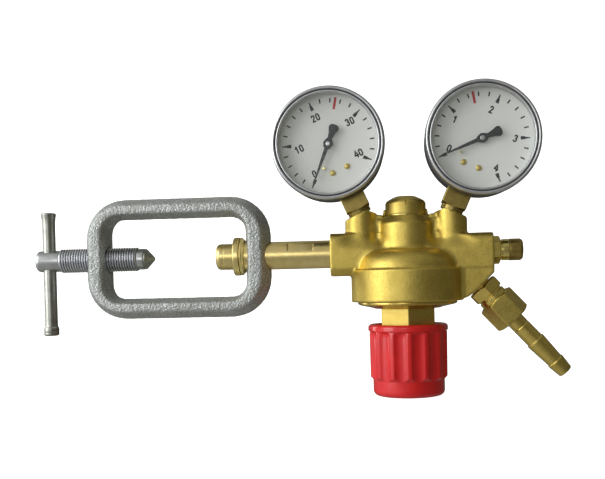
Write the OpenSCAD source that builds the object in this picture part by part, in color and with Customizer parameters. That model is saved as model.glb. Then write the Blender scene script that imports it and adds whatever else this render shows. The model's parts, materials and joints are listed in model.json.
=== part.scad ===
// Single-stage cylinder gas pressure regulator with a yoke clamp inlet and two gauges.
// Millimetres, +Z up. The origin is the centre of the inlet nipple's sealing face, and +X runs
// along the inlet tube to the body. Body modules are drawn about the body's own axis.

/* [Body] */
// Distance from the sealing face to the body's axis
inlet_reach = 108.8; // [107:0.2:112]
// Diameter of the forged body
body_d = 63; // [62:0.5:66]
// Diameter of the boss under the valve plug
neck_boss_d = 30.6; // [30:0.2:32]
// Diameter of the valve plug's head
plug_d = 22.8; // [21:0.2:24]
// Spanner size of the bonnet's neck
bonnet_af = 29.5; // [29:0.5:30]
// Diameter of the diaphragm
diaphragm_d = 54; // [52:1:55]

/* [Adjusting knob] */
// Diameter over the knob's flutes
knob_d = 44.3; // [43:0.1:46]
// Height of the knob
knob_h = 40.5; // [40:0.5:42]
// Number of flutes round the knob
flute_count = 14; // [10:1:18]
// Diameter of the adjusting spindle's thread
spindle_d = 12; // [10:1:12]

/* [Inlet] */
// Diameter of the inlet tube
tube_d = 16; // [15:0.5:16.5]
// Diameter of the nipple's nose
nose_d = 15; // [14:0.5:15.5]
// Diameter of the nipple's flange
flange_d = 22; // [21:0.5:23]

/* [Yoke and clamp screw] */
// Length of the yoke along the inlet axis
yoke_length = 107.9; // [106:0.1:109]
// Height of the yoke
yoke_height = 69.2; // [67:0.1:70]
// Depth of the yoke, front to back
yoke_depth = 24; // [23:0.5:26]
// Length of the yoke's window
window_length = 79.5; // [78:0.1:80]
// Height of the yoke's window
window_height = 45.4; // [44:0.2:46]
// Diameter of the clamp screw's thread
screw_d = 14; // [12:1:14]
// Diameter of the sliding bar
bar_d = 7.5; // [7:0.1:8]
// Length of the sliding bar
bar_length = 72; // [70:1:80]

/* [Outlet and relief valve] */
// Angle of the outlet below the inlet axis
outlet_angle = 47; // [46:0.5:48]
// Spanner size of the union nut
nut_af = 19; // [19:0.5:20]
// Spanner size of the relief valve
relief_af = 14; // [13:0.5:14]

/* [Gauges] */
// Diameter of the gauge's bezel
bezel_d = 63; // [62:0.5:64]
// Lean of each gauge away from the body's axis
gauge_tilt = 23.6; // [23:0.2:24]
// Distance from the gauge's centre to the shank's shoulder
shoulder_drop = 39.5; // [39:0.5:40]
// Spanner size of the square shank
shank_af = 14; // [13:0.5:14]

/* [Hidden] */
$fn = 72;

brass = "darkgoldenrod";
bright_brass = "gold";
steel = "silver";
dark_steel = "dimgray";
eps = 0.02;            // overlap that keeps a union or a cut clean
thread_gap = 0.05;     // radial gap between a fixed screwed part and its hole
running_gap = 0.06;    // radial gap of a part that turns or slides

// Levels on the body's axis, from the top down
plug_top = 31.6;
plug_base = 21.2;
seal_h = 0.5;
body_top = plug_base - seal_h;
plug_bottom = 8;
chamber_floor = -4;
low_ceiling = -8;
diaphragm_top = -13.4;
diaphragm_h = 1.6;
step_z = -9.5;
body_base = -27.7;
flange_base = -29;
neck_top = -31.7;
neck_base = -62;
knob_top = -40.5;
knob_base = knob_top - knob_h;
knob_seat = -70.6;     // where the spindle's shoulder meets the knob
screw_seat = -76.8;    // where the knob's screw bears
button_base = -53;

body_r = body_d / 2;
boss_r = neck_boss_d / 2;
dome_r = body_r - 2.6;
dome_round = 10.6;
plug_r = plug_d / 2;
plug_key = 8;          // width across the flats of the key socket
plug_shank_r = 8;
chamber_r = 6.2;
low_chamber_r = 22;
diaphragm_r = diaphragm_d / 2;
bonnet_thread_r = diaphragm_r + 0.1;
spindle_r = spindle_d / 2;
spring_bore_r = 12;
cap_seat_r = 13;
orifice_r = 1.5;
pin_r = 1;

// Inlet, left of the body's axis
inlet_boss_end = -42.8;
inlet_boss_low = -12.8;
inlet_boss_high = 11.4;
boss_half_depth = 11.5;
tube_r = tube_d / 2;
nipple_length = 13.9;
flange_x = 10.3;
tube_end = -inlet_reach + nipple_length;
spigot_r = 5;
body_spigot_r = 6.9;
gas_bore_r = 2.5;
washer_h = 2.4;
washer_start = tube_end + 0.3;

// Yoke and screw, left of the body's axis
arm_length = 14.5;
window_right = washer_start + washer_h + 0.3;
yoke_right = window_right + arm_length;
yoke_left = yoke_right - yoke_length;
window_left = window_right - window_length;
yoke_draft = 3;
yoke_edge = 4;
screw_r = screw_d / 2;
screw_head_r = 6.25;
screw_end = yoke_left - 31;
bar_x = yoke_left - 23.7;
thread_start = yoke_left - 16.5;
thread_end = yoke_left + 30;
pilot_end = thread_end + 4.3;
pilot_r = 6.1;
bar_r = bar_d / 2;
bar_drop = 7.8;

// Right boss and relief valve
right_face = 47.8;
right_boss_high = 9.8;
slant_top = [right_face, -12.5];
slant_end = [37.8, -22.6];
relief_bore_r = 5;
relief_hex_h = 4.4;
relief_neck_end = right_face + 9.3;
relief_end = right_face + 16.7;
relief_bore_end = 37;
cap_r = 6.15;

// Outlet axis: stations are measured from the foot of the perpendicular from the body's centre
outlet_foot = [12.25, 0, 11.4];
adapter_t0 = 32;
adapter_hex_t = 43.3;
adapter_hex_h = 6.2;
adapter_af = 17;
adapter_end_t = 60.5;
adapter_neck_r = 4.85;
outlet_thread_r = 8.1;
nut_t = 53.5;
nut_h = 15.5;
nut_wall_t = 64;

// Gauges
hub_x = 42.3;
hub_z = 60.9;
boss_drop = 41.8;
gauge_boss_x = 25.4;
gauge_boss_r = 9;
gauge_thread_r = 6.6;
gauge_thread_end = 52;
gauge_drill_r = 1.5;
case_r = bezel_d / 2 - 1.3;
case_back = 10;
case_wall = 1.1;
bezel_r = bezel_d / 2;
bezel_front = -19;
bezel_back = -12.5;
sight_r = 27.5;
shank_half = shank_af / 2;
dial_y = -11.2;
dial_h = 0.8;
dial_screw_x = [-4.45, 4.45];
dial_screw_z = -15.6;
arbor_r = 0.8;
pinion_r = 1.4;
plate_h = 0.8;
front_plate_y = -8.6;
rear_plate_y = -2.6;
sector_pivot = [0.8, -14.98];
sector_r = 13.5;
tail_angle = -10;
sector_y = -5.9;
sector_h = 0.9;
tail_pin = sector_pivot + 7 * [cos(tail_angle), sin(tail_angle)];
link_y = -7.5;
tube_tip = [19.4, -8.1];
tube_mean_r = 21;
high_side = -1;
low_side = 1;

// Placement ------------------------------------------------------------------------------

module about_body() {
    translate([inlet_reach, 0, 0]) children();
}

// Child's +Z runs along +X, starting at x
module along_x(x) {
    translate([x, 0, 0]) rotate([0, 90, 0]) children();
}

// Child's +Z runs outwards along the outlet axis, starting at station t
module along_outlet(t) {
    translate(outlet_foot)
        rotate([0, 90 + outlet_angle, 0])
        translate([0, 0, t])
        children();
}

// Gauge frame: its centre at the origin, stem down, dial facing -Y
module at_gauge(side) {
    about_body()
        translate([side * hub_x, 0, hub_z])
        rotate([0, side * gauge_tilt, 0])
        children();
}

// Child's +Z runs along +Y from y, so that a disc lies in the dial's plane
module along_y(y, at = [0, 0]) {
    translate([at[0], y, at[1]]) rotate([-90, 0, 0]) children();
}

// Shapes ---------------------------------------------------------------------------------

module ring(outer_r, inner_r, h) {
    difference() {
        cylinder(r = outer_r, h = h);
        translate([0, 0, -1]) cylinder(r = inner_r, h = h + 2);
    }
}

module rounded_square(w, h, r) {
    square([w - 2 * r, h], center = true);
    square([w, h - 2 * r], center = true);
    for (x = [-1, 1], y = [-1, 1])
        translate([x * (w / 2 - r), y * (h / 2 - r)]) circle(r = r);
}

// Hexagon with a 30 degree chamfer on the ends that are named
module chamfered_hex(af, h, low = true, high = true) {
    corner_r = af / sqrt(3);
    face_r = af / 2 * 0.97;
    rise = (corner_r - face_r) * tan(30);
    low_r = low ? face_r : corner_r;
    high_r = high ? face_r : corner_r;
    low_rise = low ? rise : 0;
    high_rise = high ? rise : 0;
    intersection() {
        cylinder(r = corner_r, h = h, $fn = 6);
        rotate_extrude()
            polygon([
                [0, 0], [low_r, 0], [corner_r + eps, low_rise + eps],
                [corner_r + eps, h - high_rise - eps], [high_r, h], [0, h]
            ]);
    }
}

function coil_ring(r, wire_r, z, a, sides) = [
    for (j = [0:sides - 1])
        let (b = 360 * j / sides)
        [(r + wire_r * cos(b)) * cos(a), (r + wire_r * cos(b)) * sin(a), z + wire_r * sin(b)]
];

// Helical wire spring from z0 up to z1
module coil_spring(r, wire_r, z0, z1, turns, steps = 14, sides = 6) {
    count = turns * steps;
    rise = z1 - z0 - 2 * wire_r;
    points = [
        for (i = [0:count])
            each coil_ring(r, wire_r, z0 + wire_r + rise * i / count, 360 * i / steps, sides)
    ];
    walls = [
        for (i = [0:count - 1], j = [0:sides - 1])
            let (k = (j + 1) % sides)
            each [
                [i * sides + j, (i + 1) * sides + j, (i + 1) * sides + k],
                [i * sides + j, (i + 1) * sides + k, i * sides + k]
            ]
    ];
    start_cap = [[for (j = [0:sides - 1]) j]];
    end_cap = [[for (j = [sides - 1:-1:0]) count * sides + j]];
    polyhedron(points = points, faces = concat(start_cap, walls, end_cap), convexity = 10);
}

// Body -----------------------------------------------------------------------------------

module body_turned() {
    rotate_extrude() {
        translate([0, body_base]) square([body_r, step_z - body_base]);
        translate([0, step_z - eps]) square([dome_r, eps * 2]);
        translate([0, step_z - eps]) square([dome_r - dome_round, dome_round]);
        intersection() {
            translate([dome_r - dome_round, step_z]) circle(r = dome_round);
            translate([0, step_z - eps]) square([body_r, dome_round * 2]);
        }
        square([boss_r, 16.3]);
        polygon([[0, 16.2], [boss_r, 16.3], [plug_r, body_top], [0, body_top]]);
        shoulder_fillet(boss_r, step_z + dome_round, 2.4);
    }
}

// Hollow corner between the dome's top and the boss
module shoulder_fillet(r, z, fillet) {
    difference() {
        translate([r - eps, z - 0.6]) square([fillet, fillet + 0.6]);
        translate([r + fillet, z + fillet]) circle(r = fillet);
    }
}

module inlet_boss() {
    translate([inlet_boss_end, 0, (inlet_boss_low + inlet_boss_high) / 2])
        rotate([90, 0, 90])
        linear_extrude(height = -inlet_boss_end - 8)
        rounded_square(boss_half_depth * 2, inlet_boss_high - inlet_boss_low, 5);
}

module right_boss() {
    intersection() {
        rotate([90, 0, 0])
            linear_extrude(height = 40, center = true)
            polygon([
                [0, right_boss_high], [right_face, right_boss_high], slant_top, slant_end,
                [33.6, -25.6], [28.6, body_base], [0, body_base]
            ]);
        translate([0, 0, right_boss_high - 25])
            rotate([90, 0, 90])
            linear_extrude(height = 60)
            rounded_square(boss_half_depth * 2 + 1, 50, 5);
    }
}

module gauge_boss(side) {
    difference() {
        translate([side * gauge_boss_x, 0, -6]) cylinder(r = gauge_boss_r, h = 40);
        translate([side * hub_x, 0, hub_z])
            rotate([0, side * gauge_tilt, 0])
            translate([-30, -30, -boss_drop])
            cube([60, 60, 60]);
    }
}

// Web behind the plug that ties the two gauge bosses together, with a saddle on each side
module rear_web() {
    difference() {
        union() {
            translate([0, 9, 0])
                rotate([90, 0, 0])
                linear_extrude(height = 5)
                polygon([
                    [-gauge_boss_x, 0], [-gauge_boss_x, 21.5], [-11, 25], [11, 25],
                    [gauge_boss_x, 21.5], [gauge_boss_x, 0]
                ]);
            translate([-gauge_boss_x, -4, 0]) cube([2 * gauge_boss_x, 10, 15.5]);
            for (side = [-1, 1])
                translate([side * 16.5 - 3.5, -4, 15]) cube([7, 10, 6.5]);
        }
        translate([0, 0, body_top]) cylinder(r = plug_r + 0.3, h = 20);
    }
}

// Drilling from the gauge's seat down its own axis, to the level end_z
module gauge_port(side, end_z) {
    reach = (hub_z - end_z) / cos(gauge_tilt);
    translate([side * hub_x, 0, hub_z])
        rotate([0, side * gauge_tilt, 0]) {
            translate([0, 0, -gauge_thread_end - 0.8])
                cylinder(r = gauge_thread_r + thread_gap, h = 20);
            translate([0, 0, -reach]) cylinder(r = gauge_drill_r, h = reach - boss_drop);
        }
}

module body() {
    color(brass)
    about_body()
    difference() {
        union() {
            body_turned();
            inlet_boss();
            right_boss();
            gauge_boss(high_side);
            gauge_boss(low_side);
            rear_web();
        }
        // valve bore, high pressure chamber and seat thread
        translate([0, 0, plug_bottom - 0.6]) cylinder(r = plug_shank_r + thread_gap, h = 20);
        translate([0, 0, chamber_floor]) cylinder(r = chamber_r, h = 14);
        translate([0, 0, low_ceiling - 1]) cylinder(r = 4 + thread_gap, h = 6);
        // low pressure chamber and diaphragm seat
        translate([0, 0, diaphragm_top - 1])
            cylinder(r = low_chamber_r, h = low_ceiling - diaphragm_top + 1);
        translate([0, 0, body_base - 1]) cylinder(r = diaphragm_r + 0.2, h = diaphragm_top - body_base + 1);
        // inlet passage
        along_x(inlet_boss_end - 1) cylinder(r = body_spigot_r + thread_gap, h = 13);
        along_x(inlet_boss_end) cylinder(r = gas_bore_r, h = -inlet_boss_end);
        gauge_port(high_side, 0);
        gauge_port(low_side, low_ceiling - 1);
        // relief valve seat and its drilling
        along_x(relief_bore_end) cylinder(r = relief_bore_r + thread_gap, h = 20);
        along_x(hub_x - hub_z * tan(gauge_tilt)) cylinder(r = gauge_drill_r, h = 25);
        // outlet seat and its cross drilling
        along_outlet(adapter_t0 - 1.5) cylinder(r = adapter_neck_r + thread_gap, h = 20);
        translate([0, 0, -10.7]) along_x(low_chamber_r - 3) cylinder(r = 2.2, h = 13);
    }
}

module valve_plug() {
    color(brass)
    about_body()
    difference() {
        union() {
            rotate_extrude()
                polygon([
                    [0, plug_base], [plug_r, plug_base], [plug_r, plug_top - 4], [plug_r - 1.6, plug_top - 2],
                    [plug_r - 5, plug_top], [0, plug_top]
                ]);
            translate([0, 0, plug_bottom]) cylinder(r = plug_shank_r, h = plug_base - plug_bottom + eps);
        }
        // key socket in the head
        translate([0, 0, plug_top - 4]) cylinder(r = plug_key / sqrt(3), h = 6, $fn = 6);
        translate([0, 0, plug_bottom - 1]) cylinder(r = 5.2, h = 12);
        translate([0, 0, plug_bottom]) cylinder(r = 2 + running_gap, h = 16.5);
    }
}

module plug_seal() {
    color("peru")
    about_body()
    translate([0, 0, body_top]) ring(10.4, plug_shank_r + 0.2, seal_h);
}

module valve_seat() {
    color(bright_brass)
    about_body()
    difference() {
        union() {
            translate([0, 0, low_ceiling]) cylinder(r = 4, h = chamber_floor - low_ceiling + eps);
            translate([0, 0, chamber_floor]) cylinder(r = 5.9, h = 2.4);
            translate([0, 0, -1.6 - eps]) cylinder(r1 = 4, r2 = 2.4, h = 1.6 + eps);
        }
        translate([0, 0, low_ceiling - 1]) cylinder(r = orifice_r, h = 12);
    }
}

module poppet() {
    color(steel)
    about_body() {
        cylinder(r = 4.4, h = 3);
        translate([0, 0, 3 - eps]) cylinder(r = 2, h = 18);
    }
}

module poppet_spring() {
    color(dark_steel)
    about_body() coil_spring(3.9, 0.5, 3.1, 18.9, 6, 12, 5);
}

module push_pin() {
    color(steel)
    about_body()
    translate([0, 0, diaphragm_top + 2]) cylinder(r = pin_r, h = -diaphragm_top - 2);
}

module diaphragm() {
    color("black")
    about_body()
    translate([0, 0, diaphragm_top - diaphragm_h]) cylinder(r = diaphragm_r, h = diaphragm_h);
}

module diaphragm_plate() {
    color(bright_brass)
    about_body()
    translate([0, 0, diaphragm_top]) {
        cylinder(r = 14, h = 1.2);
        cylinder(r = 4, h = 2);
    }
}

module spring_disc() {
    color(steel)
    about_body()
    translate([0, 0, diaphragm_top - diaphragm_h - 2]) {
        cylinder(r = 15, h = 2);
        translate([0, 0, -3]) cylinder(r = 7.6, h = 3 + eps);
    }
}

module slip_ring() {
    color(bright_brass)
    about_body()
    translate([0, 0, diaphragm_top - diaphragm_h - 1.2]) ring(diaphragm_r, 21, 1.2);
}

module bonnet() {
    thread_top = diaphragm_top - diaphragm_h - 1.2;
    color(brass)
    about_body()
    difference() {
        union() {
            translate([0, 0, flange_base]) cylinder(r = bonnet_thread_r, h = thread_top - flange_base);
            translate([0, 0, flange_base]) cylinder(r = 28, h = body_base - flange_base);
            translate([0, 0, neck_top]) cylinder(r1 = 17, r2 = 28, h = flange_base - neck_top + eps);
            translate([0, 0, neck_base])
                rotate([0, 0, 30])
                chamfered_hex(bonnet_af, neck_top - neck_base + eps, high = false);
        }
        translate([0, 0, flange_base]) cylinder(r = 17, h = 20);
        translate([0, 0, neck_base + 7]) cylinder(r = spring_bore_r, h = 40);
        translate([0, 0, neck_base - 1]) cylinder(r = spindle_r + running_gap, h = 20);
    }
}

module main_spring() {
    color(dark_steel)
    about_body() coil_spring(9.5, 1.4, -48.9, -17.1, 5, 14, 6);
}

module spring_button() {
    color(steel)
    about_body()
    translate([0, 0, button_base]) {
        cylinder(r = spring_bore_r - 0.3, h = 4);
        cylinder(r = 7.6, h = 6.5);
    }
}

module adjusting_spindle() {
    color(steel)
    about_body()
    difference() {
        union() {
            translate([0, 0, knob_seat]) cylinder(r = spindle_r, h = button_base - knob_seat);
            translate([0, 0, knob_seat - 6]) cylinder(r = 4, h = 6 + eps);
        }
        translate([0, 0, screw_seat - 0.2]) cylinder(r = 2, h = 12);
    }
}

module knob() {
    collar_top = knob_base + 9.5;
    collar_r = knob_d / 2 - 2;
    rim_r = knob_d / 2 + 0.35;
    flute_r = 6;
    knob_bore_r = 17.6;
    flute_out = knob_d / 2 + flute_r - 1.3;
    color("red")
    about_body()
    difference() {
        union() {
            translate([0, 0, knob_top - 4]) cylinder(r = rim_r, h = 4);
            difference() {
                translate([0, 0, collar_top - eps]) cylinder(r = knob_d / 2, h = knob_h - 13.5 + 2 * eps);
                for (i = [0:flute_count - 1])
                    rotate([0, 0, 360 * i / flute_count])
                        translate([flute_out, 0, collar_top - 2])
                        cylinder(r = flute_r, h = knob_h - 13);
            }
            rotate_extrude() {
                translate([0, knob_base]) square([collar_r - 3, collar_top - knob_base]);
                translate([0, knob_base + 3]) square([collar_r, collar_top - knob_base - 3]);
                translate([collar_r - 3, knob_base + 3]) circle(r = 3);
            }
        }
        translate([0, 0, knob_seat]) cylinder(r = knob_bore_r, h = 40);
        translate([0, 0, screw_seat - 0.2]) cylinder(r = 4 + thread_gap, h = 10);
        translate([0, 0, knob_base - 1]) cylinder(r = cap_seat_r, h = screw_seat - knob_base + 1);
    }
}

module knob_cap() {
    color("firebrick")
    about_body()
    translate([0, 0, knob_base + 0.3]) {
        cylinder(r = cap_seat_r - 0.1, h = 1.2);
        ring(cap_seat_r - 0.1, cap_seat_r - 1.3, 3.2);
    }
}

module knob_screw() {
    color(steel)
    about_body() {
        translate([0, 0, screw_seat - 2.5])
            difference() {
                cylinder(r = 4.6, h = 2.4);
                translate([0, 0, -1]) cylinder(r = 1.7, h = 2.2, $fn = 6);
            }
        translate([0, 0, screw_seat - 0.1 - eps]) cylinder(r = 1.95, h = 10);
    }
}

// Inlet ----------------------------------------------------------------------------------

module inlet_nipple() {
    nose_r = nose_d / 2;
    flange_r = flange_d / 2;
    color(brass)
    difference() {
        rotate([0, 90, 0])
            rotate_extrude()
            polygon([
                [0, 0], [nose_r - 1.8, 0], [nose_r - 0.5, 0.9], [nose_r, 2.2], [nose_r, flange_x],
                [flange_r - 1.2, flange_x], [flange_r, flange_x + 1.2], [flange_r, nipple_length - 0.6],
                [flange_r - 0.6, nipple_length], [0, nipple_length]
            ]);
        along_x(-1) cylinder(r = 4.5, h = 6);
        along_x(0) difference() {
            translate([0, 0, -1]) cylinder(r = 5.6, h = 2.6);
            translate([0, 0, -2]) cylinder(r = 3, h = 5);
        }
        along_x(4) cylinder(r = 3, h = 5);
        along_x(7.5) cylinder(r = spigot_r + thread_gap, h = 10);
    }
}

module nipple_seal() {
    color("white")
    along_x(0.2) ring(5.5, 4.6, 1.3);
}

module inlet_filter() {
    color("tan")
    along_x(1.8) cylinder(r = 4.4, h = 3.1);
}

module inlet_tube() {
    flat_start = -67.2;
    flat_length = 14.6;
    flat_drop = 7.5;
    flat_angle = 34.5;
    color(brass)
    about_body()
    difference() {
        union() {
            along_x(tube_end) cylinder(r = tube_r, h = inlet_boss_end - tube_end);
            along_x(tube_end - 6) cylinder(r = spigot_r, h = 7);
            along_x(inlet_boss_end - 1) cylinder(r = body_spigot_r, h = 12);
        }
        along_x(tube_end - 7) cylinder(r = gas_bore_r, h = 100);
        // two spanner flats
        for (turn = [0, 180])
            rotate([90 - flat_angle + turn, 0, 0])
                translate([flat_start, -tube_r - 1, flat_drop])
                cube([flat_length, tube_d + 2, 4]);
    }
}

module thrust_washer() {
    color(bright_brass)
    about_body()
    along_x(washer_start)
    rotate_extrude()
    polygon([
        [tube_r + running_gap, 0], [flange_d / 2 - 1, 0], [flange_d / 2, 1], [flange_d / 2, 1.4],
        [flange_d / 2 - 1.2, washer_h], [tube_r + running_gap, washer_h]
    ]);
}

module yoke_outline(inset) {
    corner = 23;
    translate([(yoke_left + yoke_right) / 2, 0])
        for (x = [-1, 1], z = [-1, 1])
            translate([x * (yoke_length / 2 - corner), z * (yoke_height / 2 - corner)])
            circle(r = corner - inset, $fn = 32);
}

module window_outline(grow) {
    corner = 8;
    translate([(window_left + window_right) / 2, 0])
        for (x = [-1, 1], z = [-1, 1])
            translate([x * (window_length / 2 - corner), z * (window_height / 2 - corner)])
            circle(r = corner + grow, $fn = 32);
}

// Thin slice of an outline at depth y, for the yoke's hulls
module slice(y) {
    translate([0, y, 0]) rotate([90, 0, 0]) linear_extrude(height = 0.1, center = true) children();
}

module yoke() {
    half = yoke_depth / 2;
    color("lightgray")
    about_body()
    difference() {
        hull() {
            for (y = [-3, 3]) slice(y) yoke_outline(0);
            for (y = [-half, half]) slice(y * 0.996) yoke_outline(yoke_edge);
        }
        for (side = [-1, 1])
            hull() {
                slice(-side * 0.5) window_outline(0);
                slice(side * (half + 1)) window_outline(yoke_draft);
            }
        along_x(window_right - 5) cylinder(r = tube_r + running_gap, h = 30);
        along_x(yoke_left - 5) cylinder(r = screw_r + running_gap, h = 30);
    }
}

module clamp_screw() {
    socket_r = 3 + running_gap;
    color(steel)
    about_body()
    difference() {
        union() {
            along_x(screw_end)
                rotate_extrude()
                polygon([
                    [0, 0], [screw_head_r - 2, 0], [screw_head_r - 0.6, 0.6], [screw_head_r, 2],
                    [screw_head_r, thread_start - screw_end + eps], [0, thread_start - screw_end + eps]
                ]);
            along_x(thread_start) cylinder(r = screw_r, h = thread_end - thread_start);
            along_x(thread_end - eps) cylinder(r = pilot_r, h = pilot_end - thread_end + eps);
        }
        along_x(pilot_end - 5) cylinder(r = socket_r, h = 8);
        translate([bar_x, 0, -20]) cylinder(r = bar_r + running_gap, h = 40);
    }
}

module screw_tip() {
    color(dark_steel)
    about_body() {
        along_x(pilot_end + 0.1)
            rotate_extrude()
            polygon([[0, 0], [pilot_r, 0], [1.2, 4.9], [0, 5.5]]);
        along_x(pilot_end - 4.6) cylinder(r = 3, h = 4.6 + 0.2);
    }
}

module tommy_bar() {
    flare_r = bar_r + 0.7;
    top_flare = 6.5;
    low_flare = 5.5;
    color(steel)
    about_body()
    translate([bar_x, 0, -bar_drop - bar_length / 2])
    rotate_extrude()
    polygon([
        [0, 0.4], [flare_r - 0.8, 0], [flare_r, 0.8], [flare_r, low_flare - 0.8],
        [bar_r, low_flare], [bar_r, bar_length - top_flare], [flare_r, bar_length - 0.6],
        [flare_r - 1.4, bar_length], [0, bar_length + 0.3]
    ]);
}

// Relief valve ---------------------------------------------------------------------------

module relief_body() {
    color(brass)
    about_body()
    difference() {
        union() {
            along_x(relief_bore_end + 0.4) cylinder(r = relief_bore_r, h = right_face - relief_bore_end);
            along_x(right_face) chamfered_hex(relief_af, relief_hex_h, low = false);
            along_x(right_face + 4) cylinder(r = cap_r - 0.15, h = relief_neck_end - right_face - 4);
        }
        along_x(relief_bore_end - 1) cylinder(r = 1.2, h = 10);
        along_x(relief_bore_end + 7) cylinder(r = 4.2, h = 20);
    }
}

module relief_cap() {
    color(brass)
    about_body()
    difference() {
        union() {
            along_x(relief_neck_end)
                rotate_extrude()
                polygon([
                    [0, 0], [cap_r, 0], [cap_r, relief_end - relief_neck_end - 1.2],
                    [cap_r - 0.8, relief_end - relief_neck_end], [0, relief_end - relief_neck_end]
                ]);
            along_x(relief_neck_end - 3.6) cylinder(r = 4.2 - thread_gap, h = 4);
        }
        along_x(relief_neck_end - 4) cylinder(r = 2.4, h = 9);
        along_x(relief_neck_end) cylinder(r = 1, h = 9);
    }
}

module relief_poppet() {
    color(steel)
    about_body() {
        along_x(relief_bore_end + 7) cylinder(r = 3.6, h = 2.2);
        along_x(relief_bore_end + 9) cylinder(r = 1.2, h = 7);
    }
}

module relief_spring() {
    color(dark_steel)
    about_body()
    along_x(0) coil_spring(2.9, 0.4, relief_bore_end + 9.3, relief_neck_end - 3.7, 5, 12, 5);
}

// Outlet ---------------------------------------------------------------------------------

module outlet_adapter() {
    color(brass)
    about_body()
    difference() {
        union() {
            along_outlet(adapter_t0) cylinder(r = adapter_neck_r, h = adapter_hex_t - adapter_t0 + eps);
            along_outlet(adapter_hex_t) chamfered_hex(adapter_af, adapter_hex_h);
            along_outlet(adapter_hex_t + adapter_hex_h - eps)
                cylinder(r = outlet_thread_r, h = adapter_end_t - adapter_hex_t - adapter_hex_h);
        }
        along_outlet(adapter_t0 - 1) cylinder(r = gas_bore_r, h = 40);
        along_outlet(adapter_end_t - 3) cylinder(r1 = gas_bore_r, r2 = 5.8, h = 3.1);
    }
}

module union_nut() {
    color(brass)
    about_body()
    difference() {
        along_outlet(nut_t) chamfered_hex(nut_af, nut_h);
        along_outlet(nut_t - 1) cylinder(r = outlet_thread_r + running_gap, h = nut_wall_t - nut_t + 1);
        along_outlet(nut_t) cylinder(r = 5.3, h = nut_h + 1);
    }
}

module hose_nipple() {
    color(brass)
    about_body()
    difference() {
        along_outlet(adapter_end_t - 2)
            rotate_extrude()
            polygon([
                [0, 0], [3.4, 0], [5, 2.1], [7.7, 2.1], [7.7, 5.4], [5, 5.4],
                [5, 27.2], [5.5, 27.5], [4.6, 43.2], [5.05, 43.5], [4.2, 51],
                [3.9, 51.5], [0, 51.5]
            ]);
        along_outlet(adapter_end_t - 3) cylinder(r = gas_bore_r, h = 60);
    }
}

// Gauges, drawn in the gauge's frame -----------------------------------------------------

module gauge_socket(side) {
    color(brass)
    at_gauge(side)
    difference() {
        union() {
            translate([-shank_half, -shank_half, -shoulder_drop])
                cube([shank_af, shank_af, shoulder_drop - 27]);
            translate([-8, -1.6, -27.5]) cube([16, 8, 10.5]);
            translate([0, 0, -gauge_thread_end])
                cylinder(r = gauge_thread_r, h = gauge_thread_end - shoulder_drop + eps);
        }
        translate([0, 1.5, -gauge_thread_end - 1]) cylinder(r = 1.2, h = 30);
    }
}

module gauge_case(side) {
    color("dimgray")
    at_gauge(side)
    difference() {
        along_y(bezel_back) cylinder(r = case_r, h = case_back - bezel_back);
        along_y(bezel_back - 1)
            cylinder(r = case_r - case_wall, h = case_back - bezel_back + 1 - case_wall);
        translate([-shank_half - 0.1, -shank_half - 0.1, -shoulder_drop])
            cube([shank_af + 0.2, shank_af + 0.2, shoulder_drop - 28]);
    }
}

module gauge_bezel(side) {
    depth = bezel_back - bezel_front;
    color("gray")
    at_gauge(side)
    along_y(bezel_front)
    rotate_extrude()
    polygon([
        [sight_r, 0.6], [sight_r + 1, 0], [bezel_r - 1.4, 0], [bezel_r, 1.4], [bezel_r, depth + 1.5],
        [case_r, depth + 1.5], [case_r, depth], [sight_r + 1.8, depth], [sight_r + 1.8, 2.4],
        [sight_r, 2.4]
    ]);
}

module gauge_window(side) {
    color("lightcyan", 0.4)
    at_gauge(side)
    along_y(bezel_front + 2.4) cylinder(r = sight_r + 1.7, h = 1.6);
}

module gauge_dial(side) {
    color("whitesmoke")
    at_gauge(side)
    difference() {
        along_y(dial_y) cylinder(r = sight_r + 1.2, h = dial_h);
        along_y(dial_y - 1) cylinder(r = 1.6, h = 3);
        for (x = dial_screw_x) along_y(dial_y - 1, [x, dial_screw_z]) cylinder(r = 0.85, h = 3);
    }
}

module gauge_dial_screws(side) {
    color(bright_brass)
    at_gauge(side)
    for (x = dial_screw_x) {
        difference() {
            along_y(dial_y - 0.8, [x, dial_screw_z]) cylinder(r = 1.6, h = 0.8);
            translate([x - 2, dial_y - 1, dial_screw_z - 0.2]) cube([4, 0.5, 0.4]);
        }
        along_y(dial_y - 0.1, [x, dial_screw_z]) cylinder(r = 0.8, h = 3);
    }
}

module gauge_stop_pin(side) {
    pin_angle = 234.8;
    pin_out = 13.8;
    color(bright_brass)
    at_gauge(side)
    along_y(dial_y - 2.9, [pin_out * cos(pin_angle), pin_out * sin(pin_angle)])
    cylinder(r = 0.55, h = 2.9);
}

// Pointer at zero, 45 degrees to the left of the stem
module gauge_pointer(side) {
    reach = 25.7;
    tail = 11.3;
    color("black")
    at_gauge(side)
    along_y(-13.6)
    rotate([0, 0, 45]) {
        linear_extrude(height = 0.5)
            polygon([
                [-1.1, 0], [-0.35, reach - 1.2], [0, reach], [0.35, reach - 1.2], [1.1, 0],
                [1.7, -5], [3, -9.8], [1.9, -10.9], [0, -tail], [-1.9, -10.9], [-3, -9.8], [-1.7, -5]
            ]);
        translate([0, 0, -0.4]) cylinder(r = 2.8, h = 1.2);
    }
}

module gauge_arbor(side) {
    color(bright_brass)
    at_gauge(side) {
        along_y(-12.8 + eps) cylinder(r = arbor_r, h = 11.6);
        along_y(-7.4)
            linear_extrude(height = 4.4)
            pinion_outline(pinion_r, 12, 0.3);
    }
}

// Toothed disc outline
module pinion_outline(r, teeth, depth) {
    polygon([
        for (i = [0:teeth - 1], k = [0:3])
            let (a = 360 * (i + [0, 0.22, 0.5, 0.72][k]) / teeth, q = k < 2 ? r : r - depth)
            [q * cos(a), q * sin(a)]
    ]);
}

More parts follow.
